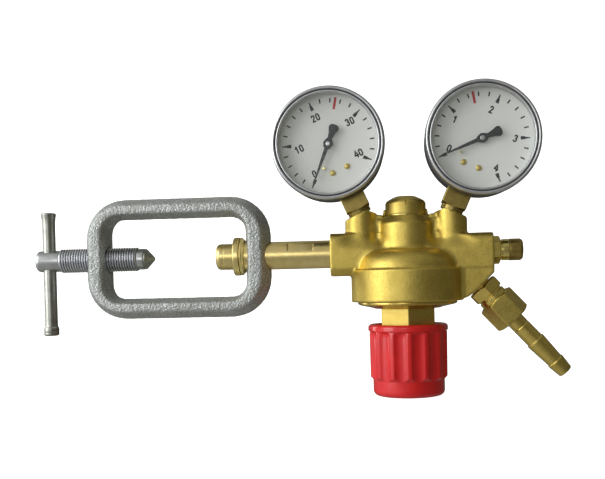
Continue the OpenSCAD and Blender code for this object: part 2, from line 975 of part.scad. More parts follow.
// Front and rear plates with their pillars, screwed to the socket block
module gauge_movement(side) {
    post = [[-9, -18.5], [7, -20.5]];
    color(bright_brass)
    at_gauge(side)
    difference() {
        union() {
            for (y = [front_plate_y, rear_plate_y]) {
                along_y(y) cylinder(r = 3, h = plate_h);
                along_y(y, sector_pivot) cylinder(r = 2.4, h = plate_h);
                translate([-1.6, y, -20]) cube([3.2, plate_h, 20]);
                translate([-10.5, y, -22]) cube([19, plate_h, 8]);
            }
            for (p = post)
                along_y(front_plate_y, p) cylinder(r = 1.2, h = rear_plate_y - front_plate_y + plate_h);
        }
        along_y(-12) cylinder(r = arbor_r + running_gap, h = 14);
        along_y(-12, sector_pivot) cylinder(r = 0.7 + running_gap, h = 14);
        for (x = dial_screw_x) along_y(front_plate_y - 1, [x, dial_screw_z]) cylinder(r = 0.85, h = 3);
    }
}

module gauge_sector(side) {
    low_angle = 56;
    high_angle = 100;
    hub_r = 2;
    rim = 1.6;
    color(bright_brass)
    at_gauge(side)
    translate([sector_pivot[0], 0, sector_pivot[1]]) {
        along_y(front_plate_y) cylinder(r = 0.7, h = rear_plate_y - front_plate_y + plate_h);
        translate([0, sector_y + sector_h, 0])
            rotate([90, 0, 0])
            linear_extrude(height = sector_h) {
                circle(r = hub_r);
                difference() {
                    polygon(concat(
                        [[0, 0]],
                        [for (i = [0:12])
                            let (a = low_angle + (high_angle - low_angle) * i / 12)
                            [sector_r * cos(a), sector_r * sin(a)]]
                    ));
                    polygon(concat(
                        [for (i = [0:6])
                            let (a = low_angle + 8 + (high_angle - low_angle - 16) * i / 6)
                            [(sector_r - rim) * cos(a), (sector_r - rim) * sin(a)]],
                        [for (i = [6:-1:0])
                            let (a = low_angle + 8 + (high_angle - low_angle - 16) * i / 6)
                            [4 * cos(a), 4 * sin(a)]]
                    ));
                }
                rotate(tail_angle) translate([0, -1.2]) square([7, 2.4]);
                rotate(tail_angle) translate([7, 0]) circle(r = 1.2);
            }
    }
}

module gauge_link(side) {
    run = tube_tip - tail_pin;
    reach = norm(run);
    color(bright_brass)
    at_gauge(side) {
        translate([tail_pin[0], link_y + 0.7, tail_pin[1]])
            rotate([90, 0, 0])
            rotate([0, 0, atan2(run[1], run[0])])
            linear_extrude(height = 0.7)
            difference() {
                union() {
                    circle(r = 1.3);
                    translate([reach, 0]) circle(r = 1.3);
                    translate([0, -0.8]) square([reach, 1.6]);
                }
                translate([reach, 0]) circle(r = 0.7);
            }
        along_y(link_y + 0.6, tail_pin) cylinder(r = 0.6, h = sector_y - link_y - 0.6);
    }
}

// Flat oval tube bent to a C, closed by its end piece
module gauge_bourdon_tube(side) {
    start_angle = 250;
    sweep = -272;
    color("goldenrod")
    at_gauge(side) {
        translate([0, 1.2, 0])
            rotate([90, 0, 0])
            rotate([0, 0, start_angle + sweep])
            rotate_extrude(angle = -sweep)
            translate([tube_mean_r, 0]) {
                square([2, 4], center = true);
                for (z = [-2, 2]) translate([0, z]) circle(r = 1, $fn = 24);
            }
        along_y(-2.4, tube_tip) cylinder(r = 1.8, h = 6.6);
    }
}

body();
valve_plug();
plug_seal();
valve_seat();
poppet();
poppet_spring();
push_pin();
diaphragm();
diaphragm_plate();
spring_disc();
slip_ring();
bonnet();
main_spring();
spring_button();
adjusting_spindle();
knob();
knob_cap();
knob_screw();
inlet_nipple();
nipple_seal();
inlet_filter();
inlet_tube();
thrust_washer();
yoke();
clamp_screw();
screw_tip();
tommy_bar();
relief_body();
relief_cap();
relief_spring();
relief_poppet();
outlet_adapter();
union_nut();
hose_nipple();
gauge_socket(high_side);  // high_socket
gauge_case(high_side);  // high_case
gauge_bezel(high_side);  // high_bezel
gauge_window(high_side);  // high_window
gauge_dial(high_side);  // high_dial
gauge_dial_screws(high_side);  // high_dial_screws
gauge_stop_pin(high_side);  // high_stop_pin
gauge_pointer(high_side);  // high_pointer
gauge_arbor(high_side);  // high_arbor
gauge_movement(high_side);  // high_movement
gauge_sector(high_side);  // high_sector
gauge_link(high_side);  // high_link
gauge_bourdon_tube(high_side);  // high_bourdon_tube
gauge_socket(low_side);  // low_socket
gauge_case(low_side);  // low_case
gauge_bezel(low_side);  // low_bezel
gauge_window(low_side);  // low_window
gauge_dial(low_side);  // low_dial
gauge_dial_screws(low_side);  // low_dial_screws
gauge_stop_pin(low_side);  // low_stop_pin
gauge_pointer(low_side);  // low_pointer
gauge_arbor(low_side);  // low_arbor
gauge_movement(low_side);  // low_movement
gauge_sector(low_side);  // low_sector
gauge_link(low_side);  // low_link
gauge_bourdon_tube(low_side);  // low_bourdon_tube
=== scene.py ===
# Looks of a brass cylinder pressure regulator with a yoke clamp inlet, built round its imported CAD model.
# Shapes are drawn in millimetres in local frames and scaled to metres when a piece is made.
import json
import math

import bpy
import numpy as np
from mathutils import Matrix, Vector, noise


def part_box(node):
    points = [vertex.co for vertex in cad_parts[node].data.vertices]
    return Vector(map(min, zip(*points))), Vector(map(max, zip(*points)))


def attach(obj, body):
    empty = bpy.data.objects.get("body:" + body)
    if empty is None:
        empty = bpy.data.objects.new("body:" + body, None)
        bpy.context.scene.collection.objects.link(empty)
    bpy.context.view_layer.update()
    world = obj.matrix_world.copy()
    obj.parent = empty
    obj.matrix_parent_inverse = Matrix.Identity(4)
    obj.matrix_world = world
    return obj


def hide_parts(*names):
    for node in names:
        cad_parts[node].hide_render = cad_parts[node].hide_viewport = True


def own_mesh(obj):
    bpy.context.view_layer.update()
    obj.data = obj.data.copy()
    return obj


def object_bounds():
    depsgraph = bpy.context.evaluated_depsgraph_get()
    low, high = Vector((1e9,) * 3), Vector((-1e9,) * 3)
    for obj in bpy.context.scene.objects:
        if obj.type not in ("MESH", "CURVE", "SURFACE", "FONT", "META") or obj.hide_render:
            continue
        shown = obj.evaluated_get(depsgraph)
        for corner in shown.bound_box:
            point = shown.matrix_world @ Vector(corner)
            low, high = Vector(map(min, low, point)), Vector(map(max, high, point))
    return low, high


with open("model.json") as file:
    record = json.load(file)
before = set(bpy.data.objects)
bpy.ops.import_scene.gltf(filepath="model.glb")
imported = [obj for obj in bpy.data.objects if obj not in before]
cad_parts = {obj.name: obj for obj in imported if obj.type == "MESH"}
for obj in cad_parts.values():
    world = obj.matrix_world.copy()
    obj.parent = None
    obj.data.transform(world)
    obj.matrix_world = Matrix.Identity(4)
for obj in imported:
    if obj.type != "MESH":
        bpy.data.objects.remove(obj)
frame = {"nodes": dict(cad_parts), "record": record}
cad_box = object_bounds()

MM = 0.001
TAU = 2 * math.pi
scene = bpy.context.scene
nodes = frame["nodes"]


def span(node):
    """Lowest and highest corner of a CAD node, in millimetres."""
    low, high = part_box(node)
    return low / MM, high / MM


def middle(node):
    low, high = span(node)
    return (low + high) / 2


# Positions from the frame ----------
BODY_X = middle("bonnet").x
NIPPLE_END = span("inlet_nipple")[1].x
WASHER_LOW, WASHER_HIGH = span("thrust_washer")
SCREW_LOW, SCREW_HIGH = span("clamp_screw")
TIP_END = span("screw_tip")[1].x
BAR_LOW, BAR_HIGH = span("tommy_bar")
TUBE_END = span("inlet_tube")[1].x
PLUG_LOW, PLUG_HIGH = span("valve_plug")
KNOB_LOW, KNOB_HIGH = span("knob")
YOKE_START = span("yoke")[0].x
GAUGE_TILT = 23.6  # degrees off upright
OUTLET_ANGLE = 47.0  # degrees below level


# Materials ----------
class Shader:
    """A node material with its Principled shader, and short calls for the nodes it needs."""

    def __init__(self, name, colour, metallic, roughness):
        self.material = bpy.data.materials.new(name)
        self.material.use_nodes = True
        self.tree = self.material.node_tree
        self.bsdf = self.tree.nodes["Principled BSDF"]
        self.bsdf.inputs["Metallic"].default_value = metallic
        self.bsdf.inputs["Roughness"].default_value = roughness
        self.bsdf.inputs["Base Color"].default_value = (*colour, 1)
        self.coords = self.node("ShaderNodeTexCoord").outputs["Object"]

    def node(self, kind, **settings):
        made = self.tree.nodes.new(kind)
        for key, value in settings.items():
            setattr(made, key, value)
        return made

    def link(self, source, target):
        self.tree.links.new(source, target)

    def stretched(self, scale):
        """Object coordinates scaled along each axis, for streaks."""
        mapping = self.node("ShaderNodeMapping")
        mapping.inputs["Scale"].default_value = scale
        self.link(self.coords, mapping.inputs["Vector"])
        return mapping.outputs["Vector"]

    def noise(self, size_mm, detail=3, coords=None):
        """Noise whose features are size_mm across."""
        made = self.node("ShaderNodeTexNoise")
        made.inputs["Scale"].default_value = 1 / (size_mm * MM)
        made.inputs["Detail"].default_value = detail
        self.link(coords or self.coords, made.inputs["Vector"])
        return made.outputs["Fac"]

    def cells(self, size_mm):
        made = self.node("ShaderNodeTexVoronoi", feature="SMOOTH_F1")
        made.inputs["Scale"].default_value = 1 / (size_mm * MM)
        made.inputs["Smoothness"].default_value = 0.6
        self.link(self.coords, made.inputs["Vector"])
        return made.outputs["Distance"]

    def curve(self, source, low, high, out_low=0.0, out_high=1.0):
        made = self.node("ShaderNodeMapRange")
        for key, value in (("From Min", low), ("From Max", high), ("To Min", out_low), ("To Max", out_high)):
            made.inputs[key].default_value = value
        self.link(source, made.inputs["Value"])
        return made.outputs["Result"]

    def tint(self, fac, colour_a, colour_b):
        made = self.node("ShaderNodeMix", data_type="RGBA")
        made.inputs["A"].default_value = (*colour_a, 1)
        made.inputs["B"].default_value = (*colour_b, 1)
        self.link(fac, made.inputs["Factor"])
        return made.outputs["Result"]

    def blend(self, fac, colour, colour_b):
        """Mix a linked colour towards a fixed one."""
        made = self.node("ShaderNodeMix", data_type="RGBA")
        self.link(colour, made.inputs["A"])
        made.inputs["B"].default_value = (*colour_b, 1)
        self.link(fac, made.inputs["Factor"])
        return made.outputs["Result"]

    def patches(self, size_mm, colour_a, colour_b, low=0.35, high=0.7):
        return self.tint(self.curve(self.noise(size_mm), low, high), colour_a, colour_b)

    def gloss(self, size_mm, low, high):
        return self.curve(self.noise(size_mm), 0.3, 0.7, low, high)

    def worn_and_highlit_edges(self, colour, edge_colour, low, high):
        """Lighter on sharp convex edges, as rubbed wear and as a painted highlight along them."""
        edges = self.curve(self.node("ShaderNodeNewGeometry").outputs["Pointiness"], low, high)
        return self.blend(edges, colour, edge_colour)

    def add(self, a, b, share=1.0):
        made = self.node("ShaderNodeMath", operation="MULTIPLY_ADD")
        self.link(b, made.inputs[0])
        made.inputs[1].default_value = share
        self.link(a, made.inputs[2])
        return made.outputs[0]

    def finish(self, colour=None, roughness=None, height=None, depth_mm=0.02, strength=1.0):
        if colour is not None:
            self.link(colour, self.bsdf.inputs["Base Color"])
        if roughness is not None:
            self.link(roughness, self.bsdf.inputs["Roughness"])
        if height is not None:
            bump = self.node("ShaderNodeBump")
            bump.inputs["Distance"].default_value = depth_mm * MM
            bump.inputs["Strength"].default_value = strength
            self.link(height, bump.inputs["Height"])
            self.link(bump.outputs["Normal"], self.bsdf.inputs["Normal"])
        return self.material


def make_forged_brass():
    s = Shader("forged_brass", (0.72, 0.57, 0.1), 1.0, 0.34)
    colour = s.patches(7, (0.68, 0.515, 0.115), (0.76, 0.585, 0.14), high=0.65)
    colour = s.blend(s.curve(s.noise(0.95), 0.56, 0.7, 0, 0.5), colour, (0.42, 0.31, 0.06))
    # edges lighter: rubbed wear and painted highlight
    colour = s.worn_and_highlit_edges(colour, (0.84, 0.72, 0.2), 0.52, 0.6)
    rough = s.gloss(0.9, 0.38, 0.52)
    grain = s.add(s.noise(0.85, 3), s.noise(2.2, 2), 1.0)
    return s.finish(colour, rough, grain, 0.07, 0.9)


def make_turned_brass(name, light, dark, rough_low, rough_high, ring_mm=0.4, depth_mm=0.0035):
    s = Shader(name, light, 1.0, rough_low)
    colour = s.patches(4, light, dark)
    # edges lighter: rubbed wear and painted highlight
    colour = s.worn_and_highlit_edges(colour, (0.88, 0.77, 0.26), 0.51, 0.58)
    rings = s.noise(ring_mm, 2, s.stretched((0.06, 0.06, 1)))
    rough = s.curve(s.add(rings, s.noise(1.5), 0.6), 0.5, 1.1, rough_low, rough_high)
    return s.finish(colour, rough, s.add(rings, s.noise(0.25), 0.25), depth_mm)


def make_zinc_casting():
    s = Shader("zinc_casting", (0.6, 0.62, 0.59), 0.6, 0.42)
    colour = s.patches(7, (0.5, 0.52, 0.48), (0.6, 0.62, 0.59), high=0.65)
    colour = s.blend(s.curve(s.noise(0.95, 2), 0.54, 0.64, 0, 0.6), colour, (0.86, 0.88, 0.85))
    colour = s.blend(s.curve(s.noise(0.8, 3), 0.52, 0.62, 0, 0.6), colour, (0.22, 0.24, 0.21))
    rough = s.gloss(1.1, 0.36, 0.52)
    grain = s.add(s.noise(0.95, 3), s.cells(1.3), 0.5)
    return s.finish(colour, rough, grain, 0.55, 1.0)


def make_plated_steel():
    s = Shader("plated_steel", (0.6, 0.61, 0.6), 1.0, 0.26)
    colour = s.patches(5, (0.6, 0.62, 0.6), (0.48, 0.49, 0.46))
    # edges lighter: rubbed wear and painted highlight
    colour = s.worn_and_highlit_edges(colour, (0.75, 0.76, 0.74), 0.51, 0.58)
    rings = s.noise(0.4, 2, s.stretched((0.08, 0.08, 1)))
    rough = s.gloss(1.2, 0.26, 0.38)
    return s.finish(colour, rough, rings, 0.0015)


def make_threaded_steel(crest_mm, depth_mm):
    """Plated steel with painted shade down in the roots of a thread of the given crest radius, lighter on its crests.
    """
    s = Shader("threaded_steel", (0.7, 0.71, 0.72), 1.0, 0.3)
    around = s.node("ShaderNodeVectorMath", operation="MULTIPLY")
    s.link(s.coords, around.inputs[0])
    around.inputs[1].default_value = (1, 1, 0)
    radius = s.node("ShaderNodeVectorMath", operation="LENGTH")
    s.link(around.outputs["Vector"], radius.inputs[0])
    # painted shade: the colour goes from near white on the crests to dark grey in the thread's roots
    height = s.curve(radius.outputs["Value"], (crest_mm - depth_mm * 0.8) * MM, (crest_mm - 0.15) * MM)
    colour = s.tint(height, (0.3, 0.31, 0.33), (0.97, 0.98, 1.0))
    colour = s.blend(s.curve(s.noise(3), 0.5, 0.8, 0, 0.3), colour, (0.4, 0.41, 0.42))
    return s.finish(colour, s.gloss(1.2, 0.24, 0.36))


def make_dark_plated_steel():
    s = Shader("dark_plated_steel", (0.5, 0.5, 0.44), 1.0, 0.4)
    colour = s.patches(3, (0.56, 0.57, 0.5), (0.4, 0.4, 0.34))
    return s.finish(colour, s.gloss(1.0, 0.3, 0.45), s.noise(0.5), 0.02)


def make_spring_steel():
    s = Shader("spring_steel", (0.2, 0.2, 0.21), 1.0, 0.35)
    return s.finish(s.tint(s.noise(2), (0.16, 0.16, 0.17), (0.3, 0.3, 0.31)), s.curve(s.noise(1), 0, 1, 0.25, 0.5))


def make_red_plastic():
    s = Shader("red_plastic", (0.6, 0.012, 0.016), 0.0, 0.2)
    s.bsdf.inputs["Coat Weight"].default_value = 0.35
    s.bsdf.inputs["Coat Roughness"].default_value = 0.08
    colour = s.patches(9, (0.78, 0.012, 0.014), (0.88, 0.018, 0.018), high=0.65)
    # edges lighter: rubbed wear and painted highlight
    colour = s.worn_and_highlit_edges(colour, (0.9, 0.05, 0.05), 0.55, 0.8)
    rough = s.curve(s.noise(2.5, 4), 0.35, 0.7, 0.15, 0.26)
    return s.finish(colour, rough, s.add(s.noise(1.2), s.noise(5), 2.0), 0.02, 0.5)


def make_painted(name, light, dark, rough, grain_mm=0.4, metallic=0.0, depth_mm=0.006):
    s = Shader(name, light, metallic, rough)
    colour = s.patches(8, light, dark, low=0.3)
    return s.finish(colour, s.gloss(1.5, rough * 0.85, rough * 1.2), s.noise(grain_mm), depth_mm)


def make_bezel_metal():
    s = Shader("gauge_bezel", (0.66, 0.67, 0.66), 1.0, 0.34)
    colour = s.patches(6, (0.7, 0.71, 0.7), (0.58, 0.59, 0.58), low=0.3)
    # edges lighter: rubbed wear and painted highlight
    colour = s.worn_and_highlit_edges(colour, (0.86, 0.87, 0.87), 0.5, 0.6)
    rings = s.noise(0.3, 2, s.stretched((0.06, 0.06, 1)))
    return s.finish(colour, s.gloss(1.4, 0.3, 0.42), rings, 0.003)


def make_window():
    s = Shader("window", (0.95, 0.97, 0.96), 0.0, 0.04)
    s.bsdf.inputs["Alpha"].default_value = 0.04
    smear = s.curve(s.noise(12, 4), 0.4, 0.8, 0.03, 0.14)
    return s.finish(s.tint(s.noise(10), (0.95, 0.97, 0.96), (0.9, 0.93, 0.92)), smear)


LOOKS = {
    "forged_brass": make_forged_brass(),
    "machined_brass": make_turned_brass("machined_brass", (0.76, 0.585, 0.15), (0.68, 0.51, 0.12), 0.22, 0.34),
    "bright_brass": make_turned_brass("bright_brass", (0.85, 0.7, 0.24), (0.76, 0.6, 0.17), 0.16, 0.28),
    "zinc_casting": make_zinc_casting(),
    "plated_steel": make_plated_steel(),
    "spring_steel": make_spring_steel(),
    "red_plastic": make_red_plastic(),
    "rubber": make_painted("rubber", (0.025, 0.025, 0.025), (0.04, 0.04, 0.04), 0.7),
    "seal": make_painted("seal", (0.8, 0.79, 0.74), (0.68, 0.66, 0.6), 0.5),
    "copper_seal": make_turned_brass("copper_seal", (0.72, 0.36, 0.2), (0.5, 0.25, 0.14), 0.3, 0.42),
    "gauge_case": make_painted("gauge_case", (0.05, 0.053, 0.057), (0.03, 0.032, 0.035), 0.45, 0.5, 0.0, 0.02),
    "gauge_bezel": make_bezel_metal(),
    "window": make_window(),
    "dial_white": make_painted("dial_white", (0.92, 0.94, 0.875), (0.89, 0.91, 0.845), 0.6, 0.6),
    "pointer_black": make_painted("pointer_black", (0.012, 0.012, 0.013), (0.02, 0.02, 0.02), 0.45),
}
DARK_STEEL = make_dark_plated_steel()
THREADED_STEEL = make_threaded_steel(7.0, 0.9)
SATIN_BRASS = make_turned_brass("satin_brass", (0.7, 0.54, 0.14), (0.64, 0.48, 0.11), 0.42, 0.52, 0.5, 0.002)
OLIVE_BRASS = make_turned_brass("olive_brass", (0.4, 0.3, 0.09), (0.3, 0.22, 0.06), 0.32, 0.42, 1.5, 0.004)
PALE_BRASS = make_turned_brass("pale_brass", (0.96, 0.79, 0.34), (0.89, 0.69, 0.26), 0.27, 0.38, 0.5, 0.003)
DULL_STEEL = make_painted("dull_band", (0.13, 0.135, 0.14), (0.09, 0.095, 0.1), 0.42, 0.6, 0.0, 0.01)
BAR_STEEL = make_painted("bar_steel", (0.5, 0.51, 0.45), (0.34, 0.35, 0.3), 0.34, 0.6, 1.0, 0.003)
GROOVE_SHADE = make_painted("groove_shade", (0.07, 0.07, 0.075), (0.05, 0.05, 0.055), 0.6)
DARK_BRASS = make_turned_brass("dark_brass", (0.42, 0.3, 0.08), (0.28, 0.19, 0.05), 0.28, 0.4)
PRINT_BLACK = make_painted("print_black", (0.012, 0.012, 0.013), (0.02, 0.02, 0.02), 0.6)
PRINT_RED = make_painted("print_red", (0.62, 0.03, 0.03), (0.55, 0.02, 0.025), 0.6)

SLOT_OF = {part["node"]: part["material_slot"] for part in frame["record"]["subparts"]}
for name, node in nodes.items():
    node.data.materials.clear()
    node.data.materials.append(LOOKS[SLOT_OF[name]])


# Frames: local +Z is a piece's own axis ----------
def frame_of(x, y, z, origin):
    """World matrix from three axes and an origin in metres."""
    return Matrix([[x[i], y[i], z[i], origin[i]] for i in range(3)] + [[0, 0, 0, 1]])


def axis_frame(origin_mm, direction, side=(0, 1, 0)):
    z = Vector(direction).normalized()
    y = (Vector(side) - z * z.dot(Vector(side))).normalized()
    return frame_of(y.cross(z), y, z, [c * MM for c in origin_mm])


def along_x(x_mm):
    return axis_frame((x_mm, 0, 0), (1, 0, 0))


def upright(x_mm):
    return axis_frame((x_mm, 0, 0), (0, 0, 1))


def dial_frame(side, y_mm):
    """Gauge frame: local X and Y lie in the dial, Y away from the stem, Z towards the viewer."""
    hub = middle(f"{side}_dial")
    tilt = math.radians(GAUGE_TILT) * (-1 if side == "low" else 1)
    x = Vector((math.cos(tilt), 0, math.sin(tilt)))
    y = Vector((-math.sin(tilt), 0, math.cos(tilt)))
    return frame_of(x, y, (0, -1, 0), [c * MM for c in (hub.x, y_mm, hub.z)])


def stem_frame(side):
    """Gauge stem frame: local Z runs from the dial's middle down the stem."""
    hub = middle(f"{side}_dial")
    return axis_frame((hub.x, 0, hub.z), dial_frame(side, 0).to_3x3() @ Vector((0, -1, 0)))


# Mesh helpers ----------
def piece(name, parts, body, slot, replaced=(), matrix=None, material=None, crease=35):
    """One object from (vertices in mm, faces) parts, riding on a body and standing for CAD nodes."""
    verts, faces, materials = [], [], []
    for index, part in enumerate(parts):
        shift = len(verts)
        verts.extend(tuple(c * MM for c in v) for v in part[0])
        faces.extend(tuple(i + shift for i in f) for f in part[1])
        materials.extend([part[2] if len(part) > 2 else 0] * len(part[1]))
    mesh = bpy.data.meshes.new(name)
    mesh.from_pydata(verts, [], faces)
    mesh.update()
    mesh.polygons.foreach_set("use_smooth", [True] * len(faces))
    mesh.polygons.foreach_set("material_index", materials)
    mesh.set_sharp_from_angle(angle=math.radians(crease))
    for look in (material if isinstance(material, list) else [material or LOOKS[slot]]):
        mesh.materials.append(look)
    obj = bpy.data.objects.new(name, mesh)
    scene.collection.objects.link(obj)
    if matrix is not None:
        obj.matrix_world = matrix
    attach(obj, body)
    if replaced:
        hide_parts(*replaced)
    return obj


def soften(points, radius):
    """Round the corners of an open outline of (z, r) points."""
    result = [points[0]]
    for before, here, after in zip(points, points[1:], points[2:]):
        a, p, b = Vector(before[:2]), Vector(here[:2]), Vector(after[:2])
        back, ahead = a - p, b - p
        if back.length < 1e-6 or ahead.length < 1e-6 or back.angle(ahead) > math.radians(172):
            result.append(here)
            continue
        reach = min(radius, back.length * 0.45, ahead.length * 0.45)
        start, end = p + back.normalized() * reach, p + ahead.normalized() * reach
        for t in (0, 0.25, 0.5, 0.75, 1):
            q = start * (1 - t) ** 2 + p * 2 * t * (1 - t) + end * t * t
            result.append((q.x, q.y))
    result.append(points[-1])
    return result


def polygon_radius(angle, flats, sides):
    """Distance from the axis to a regular polygon's side, with its corners slightly rounded."""
    step = TAU / sides
    local = (angle + step / 2) % step - step / 2
    sharp = flats / 2 / math.cos(local)
    corner = flats / 2 / math.cos(step / 2)
    return min(sharp, corner - 0.15)


def angles_for(sides, count):
    """Directions round the axis, closer together at a polygon's corners."""
    if not sides:
        return [TAU * i / count for i in range(count)]
    step = 360 / sides
    half = [0, 0.2, 0.38, 0.54, 0.68, 0.79, 0.87, 0.92, 0.95, 0.975]
    local = sorted({-h for h in half} | set(half)) + [1.0]
    return [math.radians(step * k + step / 2 * t) for k in range(sides) for t in local]


def lathe(profile, flats=None, sides=6, radius=0.25, count=96, turn=0.0, step=0.35):
    """Turned shape about local Z from a (z, r) outline that starts and ends on the axis.
    With flats, whatever is wider than the polygon across its flats is cut to it."""
    outline = soften(profile, radius)
    fine = [outline[0]]
    for a, b in zip(outline, outline[1:]):
        cut = flats and max(a[1], b[1]) > flats / 2
        pieces = max(1, int(math.dist(a, b) / step)) if cut else 1
        fine += [(a[0] + (b[0] - a[0]) * k / pieces, a[1] + (b[1] - a[1]) * k / pieces) for k in range(1, pieces + 1)]
    around = angles_for(sides if flats else 0, count)
    turn = math.radians(turn)
    verts, rows = [], []
    for z, r in fine:
        if r < 1e-6:
            rows.append([len(verts)])
            verts.append((0, 0, z))
            continue
        rows.append(list(range(len(verts), len(verts) + len(around))))
        for a in around:
            rr = min(r, polygon_radius(a, flats, sides)) if flats else r
            verts.append((rr * math.cos(a + turn), rr * math.sin(a + turn), z))
    faces, n = [], len(around)
    for lower, upper in zip(rows, rows[1:]):
        for i in range(n):
            j = (i + 1) % n
            if len(lower) == 1 and len(upper) == 1:
                break
            if len(lower) == 1:
                faces.append((lower[0], upper[j], upper[i]))
            elif len(upper) == 1:
                faces.append((lower[i], lower[j], upper[0]))
            else:
                faces.append((lower[i], lower[j], upper[j], upper[i]))
    return verts, faces


def screwed(verts, faces, z_start, z_end, pitch, depth, crest_r):
    """Cut a V thread into the lathe vertices near crest_r, fading out at both levels."""
    cut, run_out = [], 1.2
    for x, y, z in verts:
        r = math.hypot(x, y)
        if z_start < z < z_end and r > crest_r - 0.3:
            phase = (z / pitch - math.atan2(y, x) / TAU) % 1
            groove = min(1.0, max(0.0, 1.3 * (1 - abs(2 * phase - 1)) - 0.12))
            fade = min(1.0, (z - z_start) / run_out, (z_end - z) / run_out)
            r_new = r - depth * groove * fade
            x, y = x * r_new / r, y * r_new / r
        cut.append((x, y, z))
    return cut, faces


def threaded_rod(z0, z1, r, pitch, depth, count=72):
    steps = int((z1 - z0) / (pitch / 12))
    outline = [(z0, 0), (z0, r - 0.7)] + [(z0 + 0.5 + (z1 - z0 - 1) * i / steps, r) for i in range(steps + 1)]
    outline += [(z1, r - 0.7), (z1, 0)]
    return screwed(*lathe(outline, radius=0, count=count), z0, z1, pitch, depth, r)


def ring(outline, flats=None, count=96, **kw):
    """Turned ring: the outline ends where it began, through the bore."""
    verts, faces = lathe(outline, flats, count=count, **kw)
    n = len(angles_for(kw.get("sides", 6) if flats else 0, count))
    last = len(verts) - n
    return verts, faces + [(last + i, last + (i + 1) % n, (i + 1) % n, i) for i in range(n)]


# Cast and forged pieces: the CAD solid, remeshed, relaxed and grained ----------
def block(low, high):
    """Closed box between two corners, in mm."""
    corners = [(x, y, z) for x in (low[0], high[0]) for y in (low[1], high[1]) for z in (low[2], high[2])]
    return corners, [(0, 1, 3, 2), (4, 6, 7, 5), (0, 4, 5, 1), (2, 3, 7, 6), (0, 2, 6, 4), (1, 5, 7, 3)]


def placed(part, matrix):
    """A part moved out of its local frame, in mm."""
    return [tuple(matrix @ (Vector(v) * MM) / MM) for v in part[0]], part[1]


def remeshed(node, voxel_mm, fillers=()):
    """Vertices in mm and quads of a CAD node's even remesh, joined with closed filler parts."""
    source = nodes[node].data.copy()
    if fillers:
        points = [tuple(v.co) for v in source.vertices]
        shells = [tuple(p.vertices) for p in source.polygons]
        for verts, faces in fillers:
            shells += [tuple(i + len(points) for i in face) for face in faces]
            points += [tuple(c * MM for c in v) for v in verts]
        source = bpy.data.meshes.new("joined")
        source.from_pydata(points, [], shells)
    copy = bpy.data.objects.new("remesh_source", source)
    scene.collection.objects.link(copy)
    weld = copy.modifiers.new("weld", "WELD")
    weld.merge_threshold = 0.00001
    grid = copy.modifiers.new("remesh", "REMESH")
    grid.mode = "VOXEL"
    grid.voxel_size = voxel_mm * MM
    bpy.context.view_layer.update()
    shaped = copy.evaluated_get(bpy.context.evaluated_depsgraph_get())
    mesh = bpy.data.meshes.new_from_object(shaped)
    co = np.zeros(len(mesh.vertices) * 3)
    mesh.vertices.foreach_get("co", co)
    faces = [tuple(p.vertices) for p in mesh.polygons]
    edges = np.array([e.vertices[:] for e in mesh.edges])
    bpy.data.meshes.remove(mesh)
    bpy.data.objects.remove(copy)
    return co.reshape(-1, 3) / MM, faces, edges


def relax(co, edges, weight, times):
    """Pull each vertex towards its neighbours' middle, and back out a little less, so that edges go round."""
    count = np.bincount(edges.ravel(), minlength=len(co))[:, None]
    ends = ((0, 1), (1, 0))
    for factor in (0.6, -0.35) * times:
        total = np.stack([
            sum(np.bincount(edges[:, a], co[edges[:, b], k], len(co)) for a, b in ends) for k in range(3)
        ], 1)
        co = co + (total / count - co) * weight * factor
    return co


def normals_of(co, faces):
    quads = np.array([f if len(f) == 4 else (*f, f[2]) for f in faces])
    across = np.cross(co[quads[:, 2]] - co[quads[:, 0]], co[quads[:, 3]] - co[quads[:, 1]])
    total = np.zeros_like(co)
    for k in range(4):
        for axis in range(3):
            total[:, axis] += np.bincount(quads[:, k], across[:, axis], len(co))
    return total / np.maximum(np.linalg.norm(total, axis=1, keepdims=True), 1e-9)


def grained(co, faces, size_mm, amount_mm, where=1):
    """Real lumps on a casting's skin, beside the finer bump of its material."""
    lumps = np.array([noise.fractal(Vector(p) / size_mm, 1.0, 2.0, 3) for p in co])
    push = lumps * amount_mm * where
    return co + normals_of(co, faces) * push[:, None]


def smooth_step(x, low, high):
    t = np.clip((x - low) / (high - low), 0, 1)
    return t * t * (3 - 2 * t)


